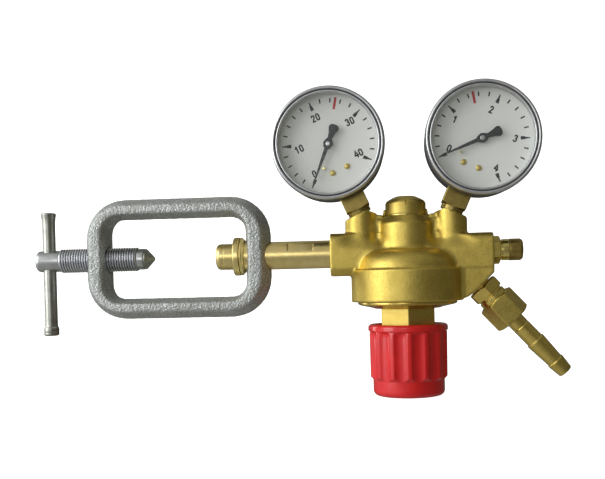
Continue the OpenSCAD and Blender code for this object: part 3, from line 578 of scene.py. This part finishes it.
def make_body():
    neck_r, boss_r, boss_x, web_y = 15.3, 9.2, 25.4, 5.2
    # solid cores keep the hidden bores out of the skin, and the forging fills the valleys by the neck
    fillers = [
        block((BODY_X + side * 17 - 5, -web_y, -4), (BODY_X + side * 17 + 5, 7, 18.5)) for side in (-1, 1)
    ]
    core = lathe([(42.3, 0), (42.3, 7), (55, 7), (55, 0)], radius=0.2, count=32)
    fillers += [placed(core, stem_frame(side)) for side in ("high", "low")]
    co, faces, edges = remeshed("body", 0.62, fillers)
    x, y, z = co[:, 0] - BODY_X, co[:, 1], co[:, 2]
    aside = np.abs(x)
    # the forging's dome and web are soft; turned and milled ends stay crisp
    plug_seat = smooth_step(z, 17.5, 19.5) * (1 - smooth_step(np.hypot(x, y), 13, 15))
    gauge_seat = smooth_step(z, 17.5, 19.5) * 0.6
    soft = smooth_step(z, -8.8, -6) * (1 - smooth_step(aside, 38, 41)) * (1 - np.maximum(plug_seat, gauge_seat))
    valley = smooth_step(aside, 13.5, 15) * (1 - smooth_step(aside, 20, 22))
    soft = np.maximum(soft, 0.12) * (1 - 0.75 * smooth_step(z, 9, 12) * (1 - valley))
    # the bosses' inner top corners are knocked down
    inner = (aside < 21.3) & (aside > 12.5) & (z > 20)
    co[inner, 2] = np.minimum(z[inner], 22 + (aside[inner] - 15.6) / 3)
    # the arms' faces fall back into the round of the bosses and show the neck's sides
    neck = np.sqrt(np.maximum(neck_r ** 2 - x ** 2, 0))
    boss = np.sqrt(np.maximum(boss_r ** 2 - (aside - boss_x) ** 2, web_y ** 2))
    flat = np.where(x < 0, 11.5, 12)
    boss = np.where(aside < boss_x, boss, boss_r + (flat - boss_r) * smooth_step(aside, 29, 40))
    fall = smooth_step(z, 1, 8.5)
    limit = np.maximum(flat - fall * (flat - np.maximum(neck, boss)), web_y)
    face = (np.abs(y) < 12.1) & (z > 1) & (z < 11.6) & (aside < 40)
    co[face, 1] = np.clip(y[face], -limit[face], limit[face])
    co = relax(co, edges, soft[:, None], 22)
    # the dome's edge goes on over the right boss as a shallow step
    below = smooth_step(-z, 9.4, 9.8) * smooth_step(x, 30, 32) * smooth_step(np.abs(y), 8, 11)
    co[:, 1] -= np.sign(y) * below * 0.3
    blasted = smooth_step(-z, -16, -13) * smooth_step(-x, -36, -30)
    co = grained(co, faces, 1.2, 0.02, blasted)
    piece("body_forging", [(co, faces)], "root", "forged_brass", ("body",), crease=50)


def make_yoke():
    co, faces, edges = remeshed("yoke", 0.75)
    off_axis = smooth_step(np.hypot(co[:, 1], co[:, 2]), 9.5, 11.5)[:, None]
    co = relax(co, edges, 0.15 + 0.85 * off_axis, 22)
    # parting line round the middle of the casting
    ridge = np.exp(-(co[:, 1] / 0.45) ** 2) * 0.22
    co = co + normals_of(co, faces) * ridge[:, None]
    co = grained(co, faces, 1.8, 0.12)
    piece("yoke_casting", [(co, faces)], "yoke", "zinc_casting", ("yoke",), crease=60)


# Inlet ----------
def make_inlet():
    end, flange_x, bore_r, nose_r, flange_r = NIPPLE_END, 10.3, 4.4, 7.5, 11
    nipple = [
        (0, bore_r), (0, 5.7), (0.5, 6.6), (1.1, 7.15), (2.3, nose_r), (4.4, nose_r), (4.6, 7.35), (4.8, nose_r),
        (flange_x - 0.5, nose_r), (flange_x - 0.3, 7.3), (flange_x, 7.3), (flange_x, flange_r - 0.5),
        (flange_x + 0.5, flange_r), (end - 0.3, flange_r), (end, 10.6), (end, 5.2),
    ]
    piece("inlet_nipple_turned", [ring(nipple, radius=0.3)], "root", "machined_brass", ("inlet_nipple",),
          along_x(0), PALE_BRASS)
    w0, w1, hole_r = WASHER_LOW.x, WASHER_HIGH.x, 8.06
    loose = [(w0, hole_r), (w0, 10.6), (w0 + 0.3, 10.95), (w0 + 0.7, 10.95), (w1 - 0.2, 9.5), (w1, 9.2), (w1, hole_r)]
    piece("thrust_ring", [ring(loose, radius=0.2)], "thrust_washer", "machined_brass", ("thrust_washer",),
          along_x(0), PALE_BRASS)


def make_tube():
    """Inlet tube with its two spanner flats, as a polar grid about the inlet axis."""
    start, end = NIPPLE_END - 0.3, TUBE_END - 11
    flat_start, flat_end = BODY_X - 67.2, BODY_X - 52.6
    # the flats lie flat_r from the axis, one of them turned up and to the front
    tube_r, flat_r, turn, shoulder = 8.0, 7.5, math.radians(34.5), 0.6
    near_cuts = {cut + shoulder * t for cut in (flat_start, flat_end) for t in (-1, -0.5, -0.25, 0.0, 0.25, 0.5, 1)}
    levels = sorted({start, end} | near_cuts | set(np.arange(start + 1, end, 1.0)))
    count = 144
    verts, faces = [], []
    for z in levels:
        depth = min(1.0, max(0.0, min(z - flat_start, flat_end - z) / shoulder + 0.5))
        for i in range(count):
            a = TAU * i / count
            facing = max(abs(math.sin(a + turn)), 1e-6)
            r = tube_r - depth * (tube_r - min(tube_r, flat_r / facing))
            verts.append((r * math.cos(a), r * math.sin(a), z))
    for k in range(len(levels) - 1):
        for i in range(count):
            j = (i + 1) % count
            faces.append((k * count + i, k * count + j, (k + 1) * count + j, (k + 1) * count + i))
    faces.append(tuple(reversed(range(count))))
    faces.append(tuple(range(len(verts) - count, len(verts))))
    piece("inlet_tube_turned", [(verts, faces)], "root", "machined_brass", ("inlet_tube",),
          along_x(0), PALE_BRASS, crease=25)


# Clamp ----------
def make_clamp():
    end = SCREW_LOW.x
    bar_x = (BAR_LOW.x + BAR_HIGH.x) / 2
    thread_start, pilot_end = YOKE_START - 16.5, SCREW_HIGH.x
    thread_end = pilot_end - 4.3
    head_r, pilot_r, thread_r = 6.25, 6.1, 7.0
    head = [
        (end, 0), (end, 3.9), (end + 0.4, 5.0), (end + 1.4, 6.0), (end + 2.6, head_r), (thread_start, head_r),
        (thread_start, 0),
    ]
    thread = threaded_rod(thread_start, thread_end, thread_r, 1.5, 0.9)
    pilot = [
        (thread_end - 0.5, 0), (thread_end - 0.5, pilot_r), (pilot_end - 0.5, pilot_r), (pilot_end, 5.7),
        (pilot_end, 0),
    ]
    piece(
        "clamp_screw_threaded", [lathe(head, radius=0.5), (*thread, 1), lathe(pilot, radius=0.3)], "clamp_screw",
        "plated_steel", ("clamp_screw",), along_x(0), [LOOKS["plated_steel"], THREADED_STEEL], crease=70,
    )
    tip_start, tip_end = pilot_end + 0.1, TIP_END
    cone = [
        (tip_start, 0), (tip_start, 5.9), (tip_start + 0.4, 6.05), (tip_end - 0.7, 1.5), (tip_end - 0.1, 0.7),
        (tip_end, 0),
    ]
    piece("screw_tip_cone", [lathe(cone, radius=0.35)], "screw_tip", "plated_steel", ("screw_tip",),
          along_x(0), DARK_STEEL)
    low, high = BAR_LOW.z, BAR_HIGH.z
    bar_r, flare_r = 3.75, 4.45
    bar = [
        (low, 0), (low, flare_r - 1.0), (low + 0.7, flare_r), (low + 1.8, flare_r), (low + 2.1, flare_r - 0.25),
        (low + 2.5, flare_r), (low + 4.6, flare_r), (low + 5.4, bar_r + 0.1), (low + 7, bar_r), (high - 8, bar_r),
        (high - 6, bar_r + 0.02), (high - 3, bar_r + 0.35), (high - 1, flare_r - 0.05), (high - 0.4, flare_r - 0.1),
        (high, flare_r - 1.1), (high - 0.3, flare_r - 2.2), (high - 0.3, 0),
    ]
    piece("tommy_bar_turned", [lathe(bar, radius=0.35)], "tommy_bar", "plated_steel", ("tommy_bar",),
          upright(bar_x), BAR_STEEL)


# Body fittings ----------
def hex_chamfer(flats):
    """Corner radius, end face radius and length of a hexagon's 30 degree chamfer."""
    corner = flats / math.sqrt(3)
    face = flats / 2 * 0.97
    return corner, face, (corner - face) * math.tan(math.radians(30))


def make_plug():
    """Round plug head with a bevelled top, a key socket and a small nick in its front edge."""
    bottom, base, top = PLUG_LOW.z, PLUG_HIGH.z - 10.4, PLUG_HIGH.z
    r, shank_r, spring_r, pin_r, key_depth = 11.4, 8, 5.2, 2.1, 3.9
    outline = [(bottom + 16.5, 0), (bottom + 16.5, pin_r), (bottom + 11, pin_r), (bottom + 11, spring_r)]
    outline += [(bottom, spring_r), (bottom, shank_r), (base, shank_r), (base, r)]
    outline += [(top - 9 + 0.4 * k, r) for k in range(13)]
    outline += [(top - 3.2, r - 0.4), (top - 2.4, r - 1.2), (top - 1.2, r - 3.4), (top - 0.2, r - 5.6)]
    outline += [(top, 5.0), (top, 4.65), (top - key_depth, 4.6), (top - key_depth, 0)]
    verts, faces = lathe(outline, radius=0.5, count=120)
    cut = []
    for x, y, z in verts:
        if y < 0 and abs(x) < 0.5 and abs(math.hypot(x, y) - r) < 2 and top - 5.4 < z < top - 2.6:
            y += 0.7
        cut.append((x, y, z))
    piece("valve_plug_head", [(cut, faces)], "root", "machined_brass", ("valve_plug",),
          upright(BODY_X), SATIN_BRASS)


def make_springs():
    """Copies of the coil springs, riding on the root."""
    for node, joint, axis, travel in (
        ("main_spring", "spindle_feed", Vector((0, 0, 1)), 7.5),  # travel in mm
        ("poppet_spring", "poppet_lift", Vector((0, 0, 1)), 0.8),
        ("relief_spring", "relief_lift", Vector((1, 0, 0)), 1.0),
    ):
        coil = bpy.data.objects.new(f"{node}_coil", nodes[node].data.copy())
        scene.collection.objects.link(coil)
        coil.matrix_world = nodes[node].matrix_world.copy()
        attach(coil, "root")
        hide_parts(node)
        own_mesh(coil)


def make_bonnet():
    """Cone and hexagon neck, hollow for the spring and the spindle."""
    flange, base, neck_top, neck_base = -29.0, -27.7, -31.7, span("bonnet")[0].z
    spring_r, seat_r, rim_r, flats = 12.1, 17.1, 28, 29.5
    cone = [
        (base - 0.02, seat_r), (base - 0.02, rim_r), (flange, rim_r), (flange - 0.25, 27.2), (flange - 0.5, 27.2),
        (neck_top + 0.5, 19.5), (neck_top + 0.1, 18.6), (neck_top + 0.1, spring_r), (flange + 0.2, spring_r),
        (flange + 0.2, seat_r),
    ]
    corner, face, rise = hex_chamfer(flats)
    spindle_low, spindle_high = span("adjusting_spindle")
    bore = (spindle_high.x - spindle_low.x) / 2 + 0.1
    neck = [
        (neck_base, bore), (neck_base, face), (neck_base + rise, corner), (neck_top + 0.6, corner),
        (neck_top + 0.6, spring_r), (neck_base + 7, spring_r), (neck_base + 7, bore),
    ]
    piece(
        "bonnet_turned", [ring(cone, radius=0.25), (*ring(neck, flats, radius=0.3), 1)], "root", "machined_brass",
        ("bonnet",), upright(BODY_X), [LOOKS["machined_brass"], SATIN_BRASS],
    )


KNOB_FLUTES = 14
KNOB_RIM = 3.9  # height of the plain rim
KNOB_COLLAR = 9.2  # height of the plain collar


def knob_radius(angle, z, base, top):
    """Outer radius of the fluted knob."""
    rib_r, rim_r, collar_r, flute_r = 22.15, 22.5, 20.2, 6.2
    flute_depth, soft, blend, bottom_r = 1.75, 0.35, 1.2, 3.2
    rim_low = top - KNOB_RIM
    if z >= rim_low:
        t = (z - rim_low) / KNOB_RIM
        return rim_r - 0.7 * max(0.0, 1 - t / 0.12) ** 2 - 1.3 * max(0.0, (t - 0.6) / 0.4) ** 2
    step = TAU / KNOB_FLUTES
    local = (angle + step / 2) % step - step / 2
    centre = rib_r + flute_r - flute_depth
    side = centre * math.sin(local)
    gap = 0.0
    if abs(side) < flute_r:
        gap = rib_r - (centre * math.cos(local) - math.sqrt(flute_r ** 2 - side ** 2))
    fluted = rib_r - (gap + math.hypot(gap, soft) - soft) / 2 if gap > 0 else rib_r
    taper = 0.35 * (rim_low - z) / (rim_low - base)
    above_collar = z - (base + KNOB_COLLAR)
    r = min(fluted - taper, collar_r + above_collar * 0.95) if above_collar > 0 else collar_r
    if z > rim_low - blend:
        r += (rib_r - 0.25 - r) * smooth_step(z, rim_low - blend, rim_low) * 0.85
    if z < base + 3:
        r = min(r, collar_r - bottom_r + math.sqrt(max(0.0, bottom_r ** 2 - (base + bottom_r - z) ** 2)))
    return r


def make_knob():
    base, top = KNOB_LOW.z, KNOB_HIGH.z
    seat = span("bonnet")[0].z - 8
    bore_r, bore_depth = 13.05, 3.6
    count = KNOB_FLUTES * 20
    levels = [base + h for h in (0.02, 0.25, 0.7, 1.2, 1.9, 2.6, 3.2, 5, 7, 9.0)]
    levels += [base + KNOB_COLLAR + 0.2 * k for k in range(14)] + [base + 12.2 + 1.5 * k for k in range(15)]
    levels = [z for z in levels if z < top - 5.3] + [top - 5.1 + 0.2 * k for k in range(6)]
    levels += [top - KNOB_RIM + KNOB_RIM * k / 14 for k in range(15)]
    inner_top = [(top, 20.0), (top - 0.35, 19.2), (top - 1.2, 18.6), (seat + 0.3, 17.6)]
    angles = [TAU * i / count for i in range(count)]
    verts, rows = [], []

    def add_row(z, radii):
        rows.append(list(range(len(verts), len(verts) + count)))
        verts.extend((r * math.cos(a), r * math.sin(a), z) for a, r in zip(angles, radii))

    def add_middle(z):
        rows.append([len(verts)] * count)
        verts.append((0, 0, z))

    add_middle(base + bore_depth)
    add_row(base + bore_depth, [bore_r] * count)
    add_row(base, [bore_r] * count)
    for z in levels:
        add_row(z, [knob_radius(a, z, base, top) for a in angles])
    for z, r in inner_top:
        add_row(z, [r] * count)
    add_middle(seat)
    faces = []
    for lower, upper in zip(rows, rows[1:]):
        for i in range(count):
            j = (i + 1) % count
            # a row that is one point makes triangles
            faces.append(tuple(dict.fromkeys((lower[i], lower[j], upper[j], upper[i]))))
    piece("knob_fluted", [(verts, faces)], "knob", "red_plastic", ("knob",), upright(BODY_X), crease=38)


def make_relief():
    end, cap_end = span("relief_body")[1].x, span("relief_cap")[1].x
    flats, neck_r, cap_r = 14, 6.0, 6.15
    face_x = end - 9.3
    corner, face, rise = hex_chamfer(flats)
    start, hex_end = face_x - 0.5, face_x + 4.4
    hexagon = [(start, 0), (start, corner), (hex_end - rise, corner), (hex_end, face), (hex_end, 0)]
    neck = [
        (face_x + 4, 0), (face_x + 4, 5.6), (face_x + 5.2, 5.6), (face_x + 5.5, neck_r), (end - 0.3, neck_r),
        (end, 5.7), (end, 0),
    ]
    piece("relief_valve_hex", [lathe(hexagon, flats, radius=0.2, turn=90), (*lathe(neck, radius=0.2), 1)], "root",
          "machined_brass", ("relief_body",), along_x(0), [LOOKS["machined_brass"], LOOKS["bright_brass"]])
    cap = [
        (end, 0), (end, 5.8), (end + 0.25, cap_r), (cap_end - 1.3, cap_r), (cap_end, 5.3), (cap_end, 1.1),
        (cap_end - 1.5, 1.0), (cap_end - 1.5, 0),
    ]
    piece("relief_cap_turned", [lathe(cap, radius=0.25)], "root", "machined_brass", ("relief_cap",),
          along_x(0), DARK_BRASS)


def make_outlet():
    """Adapter, nut and hose tail, along the slanted outlet."""
    foot = Vector((BODY_X + 12.25, 0, 11.4))
    slope = math.radians(OUTLET_ANGLE)
    matrix = axis_frame(foot, (math.cos(slope), 0, -math.sin(slope)))
    adapter_flats, nut_flats, groove_r, thread_r = 17, 19, 4.85, 8.1
    corner, face, rise = hex_chamfer(adapter_flats)
    t0, t1 = 43.3, 49.5
    hexagon = [(t0, 0), (t0, face), (t0 + rise, corner), (t1 - rise, corner), (t1, face), (t1, 0)]
    neck = [
        (30.5, 0), (30.5, groove_r), (39.8, groove_r), (40.2, 5.3), (41.6, 5.3), (42, groove_r), (t0 + 0.3, groove_r),
        (t0 + 0.3, 0),
    ]
    stub = [(t1 - 0.3, 0), (t1 - 0.3, 7.4), (t1 + 1.1, 7.4), (t1 + 1.5, thread_r), (60.5, thread_r), (60.5, 0)]
    piece(
        "outlet_adapter_hex",
        [lathe(neck, radius=0.2), lathe(hexagon, adapter_flats, radius=0.25), lathe(stub, radius=0.2)],
        "root", "machined_brass", ("outlet_adapter",), matrix,
    )
    corner, face, rise = hex_chamfer(nut_flats)
    n0, n1 = 53.5, 69.0
    nut = [(n0, 8.3), (n0, face), (n0 + rise, corner), (n1 - rise, corner), (n1, face), (n1, 5.35)]
    piece("union_nut_hex", [ring(nut, nut_flats, turn=90, radius=0.3)], "union_nut", "machined_brass",
          ("union_nut",), matrix)
    s, bore_r, stem_r, collar_r = 58.5, 2.5, 4.95, 7.6
    tail = [
        (s + 1, bore_r), (s + 1, 4.0), (s + 2.1, 5), (s + 2.1, collar_r), (s + 5.4, collar_r), (s + 5.4, stem_r),
        (s + 15.5, stem_r), (s + 15.9, 4.7), (s + 16.3, stem_r), (s + 27.0, stem_r), (s + 27.3, 5.45), (s + 28.1, 5.5),
        (s + 42.8, 4.6), (s + 43.1, 5.05), (s + 43.9, 5.0), (s + 51.0, 4.2), (s + 51.5, 3.8), (s + 51.5, bore_r),
    ]
    piece("hose_tail_barbed", [ring(tail, radius=0.2)], "hose_nipple", "machined_brass", ("hose_nipple",), matrix)


# Gauges ----------
def ray(degrees):
    """Unit vectors out along a dial direction and across it."""
    a = math.radians(degrees)
    return Vector((math.cos(a), math.sin(a))), Vector((-math.sin(a), math.cos(a)))


def mark(angle, r0, r1, w0, w1, z):
    """Radial wedge facing the front, w0 wide at r0 and w1 wide at r1."""
    out, across = ray(angle)
    corners = [out * r + across * w / 2 for r, w in ((r0, -w0), (r1, -w1), (r1, w1), (r0, w0))]
    return [(c.x, c.y, z) for c in corners], [(0, 1, 2, 3)]


def arc(centre, rx, ry, start, end, count=9):
    """Points on an ellipse between two angles in degrees."""
    turns = [math.radians(start + (end - start) * k / (count - 1)) for k in range(count)]
    return [(centre[0] + rx * math.cos(t), centre[1] + ry * math.sin(t)) for t in turns]


# Strokes of condensed numerals in a box one wide and two high
DIGITS = {
    "0": [arc((0.5, 1.5), 0.5, 0.5, 0, 180) + arc((0.5, 0.5), 0.5, 0.5, 180, 360) + [(1.0, 1.5)]],
    "1": [[(0.12, 1.55), (0.6, 2.0), (0.6, 0.0)]],
    "2": [arc((0.5, 1.5), 0.48, 0.5, 165, -25) + [(0.03, 0.0), (1.0, 0.0)]],
    "3": [arc((0.48, 1.52), 0.46, 0.48, 155, -80), arc((0.48, 0.54), 0.52, 0.54, 85, -155)],
    "4": [[(0.55, 2.0), (-0.1, 0.58), (1.2, 0.58)], [(0.82, 1.35), (0.82, 0.0)]],
}


def stroke(points, width, z):
    """Flat band of even width along a line, with round joints and ends."""
    verts, faces = [], []
    corners = 10
    dot = [(width / 2 * math.cos(TAU * k / corners), width / 2 * math.sin(TAU * k / corners)) for k in range(corners)]
    for x, y in points:
        faces.append(tuple(range(len(verts), len(verts) + corners)))
        verts += [(x + dx, y + dy, z) for dx, dy in dot]
    for (ax, ay), (bx, by) in zip(points, points[1:]):
        length = math.hypot(bx - ax, by - ay)
        nx, ny = (ay - by) / length * width / 2, (bx - ax) / length * width / 2
        faces.append(tuple(range(len(verts), len(verts) + 4)))
        verts += [(ax - nx, ay - ny, z), (bx - nx, by - ny, z), (bx + nx, by + ny, z), (ax + nx, ay + ny, z)]
    return verts, faces


def number(text, angle, r, height, z):
    """Numeral parts centred at a place on the dial."""
    line = 0.82
    tall, wide, gap = (height - line) / 2, 1.5, 2.65
    cx, cy = r * math.cos(math.radians(angle)), r * math.sin(math.radians(angle))
    parts = []
    for index, digit in enumerate(text):
        left = cx + (index - (len(text) - 1) / 2) * gap - wide / 2
        for points in DIGITS[digit]:
            parts.append(stroke([(left + x * wide, cy - tall + y * tall) for x, y in points], line, z))
    return parts


# Numerals with their directions in degrees and distances from the dial's middle
NUMBERS = {
    "high": [("0", 219.8, 18.1), ("10", 163.7, 16.5), ("20", 90.8, 16.5), ("30", 21.6, 17.3), ("40", -41.8, 17.6)],
    "low": [("0", 218.2, 18.6), ("1", 166.3, 18.3), ("2", 94.8, 16.5), ("3", 21.6, 18.0), ("4", -42.0, 17.9)],
}
RED_LINE = {"high": 56.25, "low": 123.75}
SCALE_START, SCALE_SWEEP, SCALE_PARTS = 225, 270, 20


def make_dial_print(side):
    lift, numeral_height = 0.03, 4.3
    parts = []
    for k in range(SCALE_PARTS + 1):
        angle = SCALE_START - SCALE_SWEEP / SCALE_PARTS * k
        if k % 5 == 0:
            parts.append(mark(angle, 20.8, 23.2, 2.0, 1.6, lift))
            parts.append(mark(angle, 23.2, 25.9, 1.1, 0.5, lift))
        else:
            parts.append(mark(angle, 23.3, 25.8, 0.8, 0.8, lift))
    for text, angle, r in NUMBERS[side]:
        parts += number(text, angle, r, numeral_height, lift)
    parts.append((*mark(RED_LINE[side], 19.7, 26.4, 1.4, 1.4, lift * 1.5), 1))
    piece(f"{side}_dial_print", parts, "root", "pointer_black", (), dial_frame(side, span(f"{side}_dial")[0].y),
          [PRINT_BLACK, PRINT_RED])


def make_housing(side):
    """Bezel with the painted shade in its groove and its dull band, and the case behind it."""
    low, high = span(f"{side}_bezel")
    hub = middle(f"{side}_dial")
    towards_back = axis_frame((hub.x, 0, hub.z), (0, 1, 0), (0, 0, 1))
    front, back, r = low.y, high.y, 31.5
    rim = [
        (front + 2.4, 27.5), (front + 0.7, 27.6), (front + 0.3, 27.9), (front + 0.15, 28.3), (front + 0.3, 28.75),
        (front + 1.3, 28.95), (front + 1.3, 29.4), (front + 0.2, 29.55), (front, 30.2), (front + 0.25, 30.8),
        (front + 0.8, 31.2), (front + 1.5, 31.4), (front + 1.5, 31.0), (back - 1.6, 31.0), (back - 1.6, 29.4),
    ]
    band = [
        (front + 1.5, 30.95), (front + 1.5, 31.42), (front + 1.9, r), (back - 0.6, r), (back, r - 0.3), (back, 30.95),
    ]
    # dark ring down in the groove: painted shade
    shade = [(front + 1.2, 28.8), (front + 0.55, 28.82), (front + 0.55, 29.45), (front + 1.2, 29.45)]
    rings = [ring(outline, radius=0.12, count=160) for outline in (rim, band, shade)]
    piece(f"{side}_bezel_turned", [(*part, index) for index, part in enumerate(rings)], "root", "gauge_bezel",
          (f"{side}_bezel",), towards_back, [LOOKS["gauge_bezel"], DULL_STEEL, GROOVE_SHADE], crease=30)

    start, end, case_r, inner_r = back - 1.5, span(f"{side}_case")[1].y, 30.9, 29.1
    outside = lathe([
        (start, inner_r), (start, case_r), (end - 2.6, case_r), (end - 1.0, case_r - 0.5), (end, case_r - 2.2),
        (end, 24), (end - 0.3, 23.6), (end - 0.3, 0),
    ], radius=0.8, count=128)
    inside = lathe([(end - 1.1, 0), (end - 1.1, inner_r), (start, inner_r)], radius=0.3, count=128)
    piece(f"{side}_case_shell", [outside, inside], "root", "gauge_case", (f"{side}_case",), towards_back)


def make_shank(side):
    flats, shoulder, neck_r = 14.0, 39.5, 6.5
    corner = flats / math.sqrt(2)
    shank = [
        (27.2, 0), (27.2, corner), (shoulder - 1.0, corner), (shoulder, flats / 2 * 0.98), (shoulder, neck_r),
        (shoulder + 2.6, neck_r), (shoulder + 2.6, 0),
    ]
    piece(f"{side}_socket_shank", [lathe(shank, flats, 4, radius=0.25)], "root", "machined_brass", (f"{side}_socket",),
          stem_frame(side), OLIVE_BRASS)


def make_dial_screws(side):
    face_y = span(f"{side}_dial")[0].y
    head_r, drop = 1.65, -15.6
    head = [(0, 0), (0, head_r), (0.35, head_r), (0.8, 1.25), (0.95, 0.5), (0.95, 0)]
    for index, x in enumerate((-4.45, 4.45)):
        at = dial_frame(side, face_y) @ Matrix.Translation((x * MM, drop * MM, 0))
        piece(f"{side}_dial_screw_head_{index}", [lathe(head, radius=0.3, count=40)], "root", "bright_brass",
              (f"{side}_dial_screws",), at, SATIN_BRASS)


def make_pointer(side):
    """Blade with a round hub and a spade tail, and the cap on its hub."""
    low, high = span(f"{side}_pointer")
    along, across = ray(SCALE_START)
    hub_r = 2.8
    half = [(21.7, 0.22), (20.5, 0.4), (2.9, 1.15), (2.6, 1.6)]
    half += [(hub_r * math.cos(math.radians(t)), hub_r * math.sin(math.radians(t))) for t in (45, 90, 130)]
    half += [(-3.2, 1.3), (-6.5, 1.9), (-9.2, 2.9), (-10.6, 2.4), (-11.2, 1.0)]
    outline = [along * a + across * b for a, b in half] + [along * a - across * b for a, b in reversed(half)]
    thick = min(0.5, high.y - low.y)
    verts = [(c.x * k, c.y * k, z) for z, k in ((-thick, 1.0), (-0.15, 1.0), (0.0, 0.93)) for c in outline]
    n = len(outline)
    faces = [tuple(reversed(range(n))), tuple(range(2 * n, 3 * n))]
    for row in (0, n):
        faces += [(row + i, row + (i + 1) % n, row + n + (i + 1) % n, row + n + i) for i in range(n)]
    at = dial_frame(side, low.y)
    piece(f"{side}_pointer_blade", [(verts, faces)], f"{side}_pointer", "pointer_black", (f"{side}_pointer",), at)
    cap = [(0, 0), (0, 1.3), (0.35, 1.3), (0.5, 1.0), (0.5, 0)]
    piece(f"{side}_pointer_cap", [lathe(cap, radius=0.15, count=40)], f"{side}_pointer", "pointer_black", (), at,
          LOOKS["plated_steel"])


# Studio ----------
def make_stage():
    """Floor that bends up into a wall; it glows, and neither lights nor shows in the metal."""
    low, high = cad_box
    floor_z = low[2]
    centre_x = (low[0] + high[0]) / 2
    wall_y, bend, near_y, half, wall_top = 1.1, 0.5, -1.6, 2.6, 2.6
    path = [(near_y, floor_z), (wall_y - bend, floor_z)]
    for a in np.linspace(0.1, math.pi / 2, 12):
        path.append((wall_y - bend + bend * math.sin(a), floor_z + bend - bend * math.cos(a)))
    path.append((wall_y, wall_top))
    verts = [(centre_x + side * half, y, z) for y, z in path for side in (-1, 1)]
    faces = [(2 * i, 2 * i + 1, 2 * i + 3, 2 * i + 2) for i in range(len(path) - 1)]
    mesh = bpy.data.meshes.new("cyclorama")
    mesh.from_pydata(verts, [], faces)
    mesh.polygons.foreach_set("use_smooth", [True] * len(faces))
    s = Shader("backdrop", (0.9, 0.9, 0.89), 0.0, 0.9)
    s.bsdf.inputs["Emission Color"].default_value = (1, 1, 0.99, 1)
    s.bsdf.inputs["Emission Strength"].default_value = 1.0
    s.finish(s.tint(s.noise(300), (0.9, 0.9, 0.89), (0.88, 0.88, 0.87)))
    mesh.materials.append(s.material)
    floor = bpy.data.objects.new("cyclorama", mesh)
    scene.collection.objects.link(floor)
    floor.visible_glossy = False
    floor.visible_diffuse = False


LIGHT_TARGET = Vector((0.08, 0, 0))


def add_softbox(name, place, size, power):
    data = bpy.data.lights.new(name, "AREA")
    data.shape = "RECTANGLE"
    data.size, data.size_y = size
    data.energy = power
    lamp = bpy.data.objects.new(name, data)
    scene.collection.objects.link(lamp)
    lamp.location = place
    lamp.rotation_euler = (LIGHT_TARGET - Vector(place)).to_track_quat("-Z", "Y").to_euler()
    lamp.visible_camera = False


def make_world():
    """Soft grey surroundings: light from the front left, darker above, behind and to the right."""
    world = bpy.data.worlds.new("studio")
    world.use_nodes = True
    scene.world = world
    tree = world.node_tree
    background = tree.nodes["Background"]

    def add(kind, *sources, **settings):
        made = tree.nodes.new(kind)
        for key, value in settings.items():
            setattr(made, key, value)
        for index, source in enumerate(sources):
            if isinstance(source, bpy.types.NodeSocket):
                tree.links.new(source, made.inputs[index])
            else:
                made.inputs[index].default_value = source
        return made

    direction = add("ShaderNodeTexCoord").outputs["Generated"]
    light_from = Vector((-0.9, -0.4, 0.2)).normalized()
    toward = add("ShaderNodeVectorMath", direction, light_from, operation="DOT_PRODUCT").outputs["Value"]
    share = add("ShaderNodeMath", toward, 0.5, 0.5, operation="MULTIPLY_ADD").outputs[0]
    ramp = add("ShaderNodeValToRGB", share)
    stops = ramp.color_ramp.elements
    stops[0].position, stops[0].color = 0.0, (0.1, 0.097, 0.08, 1)
    stops[1].position, stops[1].color = 1.0, (0.95, 0.97, 1.05, 1)
    for position, grey, cool in ((0.5, 0.14, 0.9), (0.7, 0.22, 1.0), (0.86, 0.45, 1.06)):
        stops.new(position).color = (grey, grey, grey * cool, 1)
    height = add("ShaderNodeSeparateXYZ", direction).outputs["Z"]
    steep = add("ShaderNodeMath", height, operation="ABSOLUTE").outputs[0]
    glow = add("ShaderNodeMapRange", steep, 0.35, 1.0, 0.0, 0.2).outputs["Result"]
    lit = add("ShaderNodeVectorMath", ramp.outputs["Color"], glow, operation="ADD")
    tree.links.new(lit.outputs["Vector"], background.inputs["Color"])
    background.inputs["Strength"].default_value = 1.0


def make_camera():
    """Lens and place found from the photo's perspective."""
    yaw, pitch, roll = (math.radians(a) for a in (5.305, -1.223, 1.354))
    turn = Matrix.Rotation(yaw, 3, "Z") @ Matrix.Rotation(pitch, 3, "X") @ Matrix.Rotation(roll, 3, "Y")
    right, forward, up = turn.col[0], turn.col[1], turn.col[2]
    place = Vector((BODY_X - 13.4, -500, -15.12)) * MM
    data = bpy.data.cameras.new("camera")
    data.sensor_width = 36
    data.lens = 52.01
    data.shift_y = 0.1
    data.clip_start = 0.01
    camera = bpy.data.objects.new("camera", data)
    scene.collection.objects.link(camera)
    camera.matrix_world = frame_of(right, up, -forward, place)
    scene.camera = camera


make_body()
make_yoke()
make_inlet()
make_tube()
make_clamp()
make_plug()
make_springs()
make_bonnet()
make_knob()
make_relief()
make_outlet()
for gauge in ("high", "low"):
    make_dial_print(gauge)
    make_housing(gauge)
    make_shank(gauge)
    make_dial_screws(gauge)
    make_pointer(gauge)

make_stage()
make_world()
add_softbox("key", (-1.02, -0.66, 0.36), (0.75, 1.1), 7.4)
add_softbox("rim", (-1.2, 0.62, 0.3), (0.4, 1.0), 3.0)
add_softbox("front", (-0.25, -1.5, 0.2), (0.5, 0.5), 1.7)
make_camera()
scene.view_settings.view_transform = "Standard"
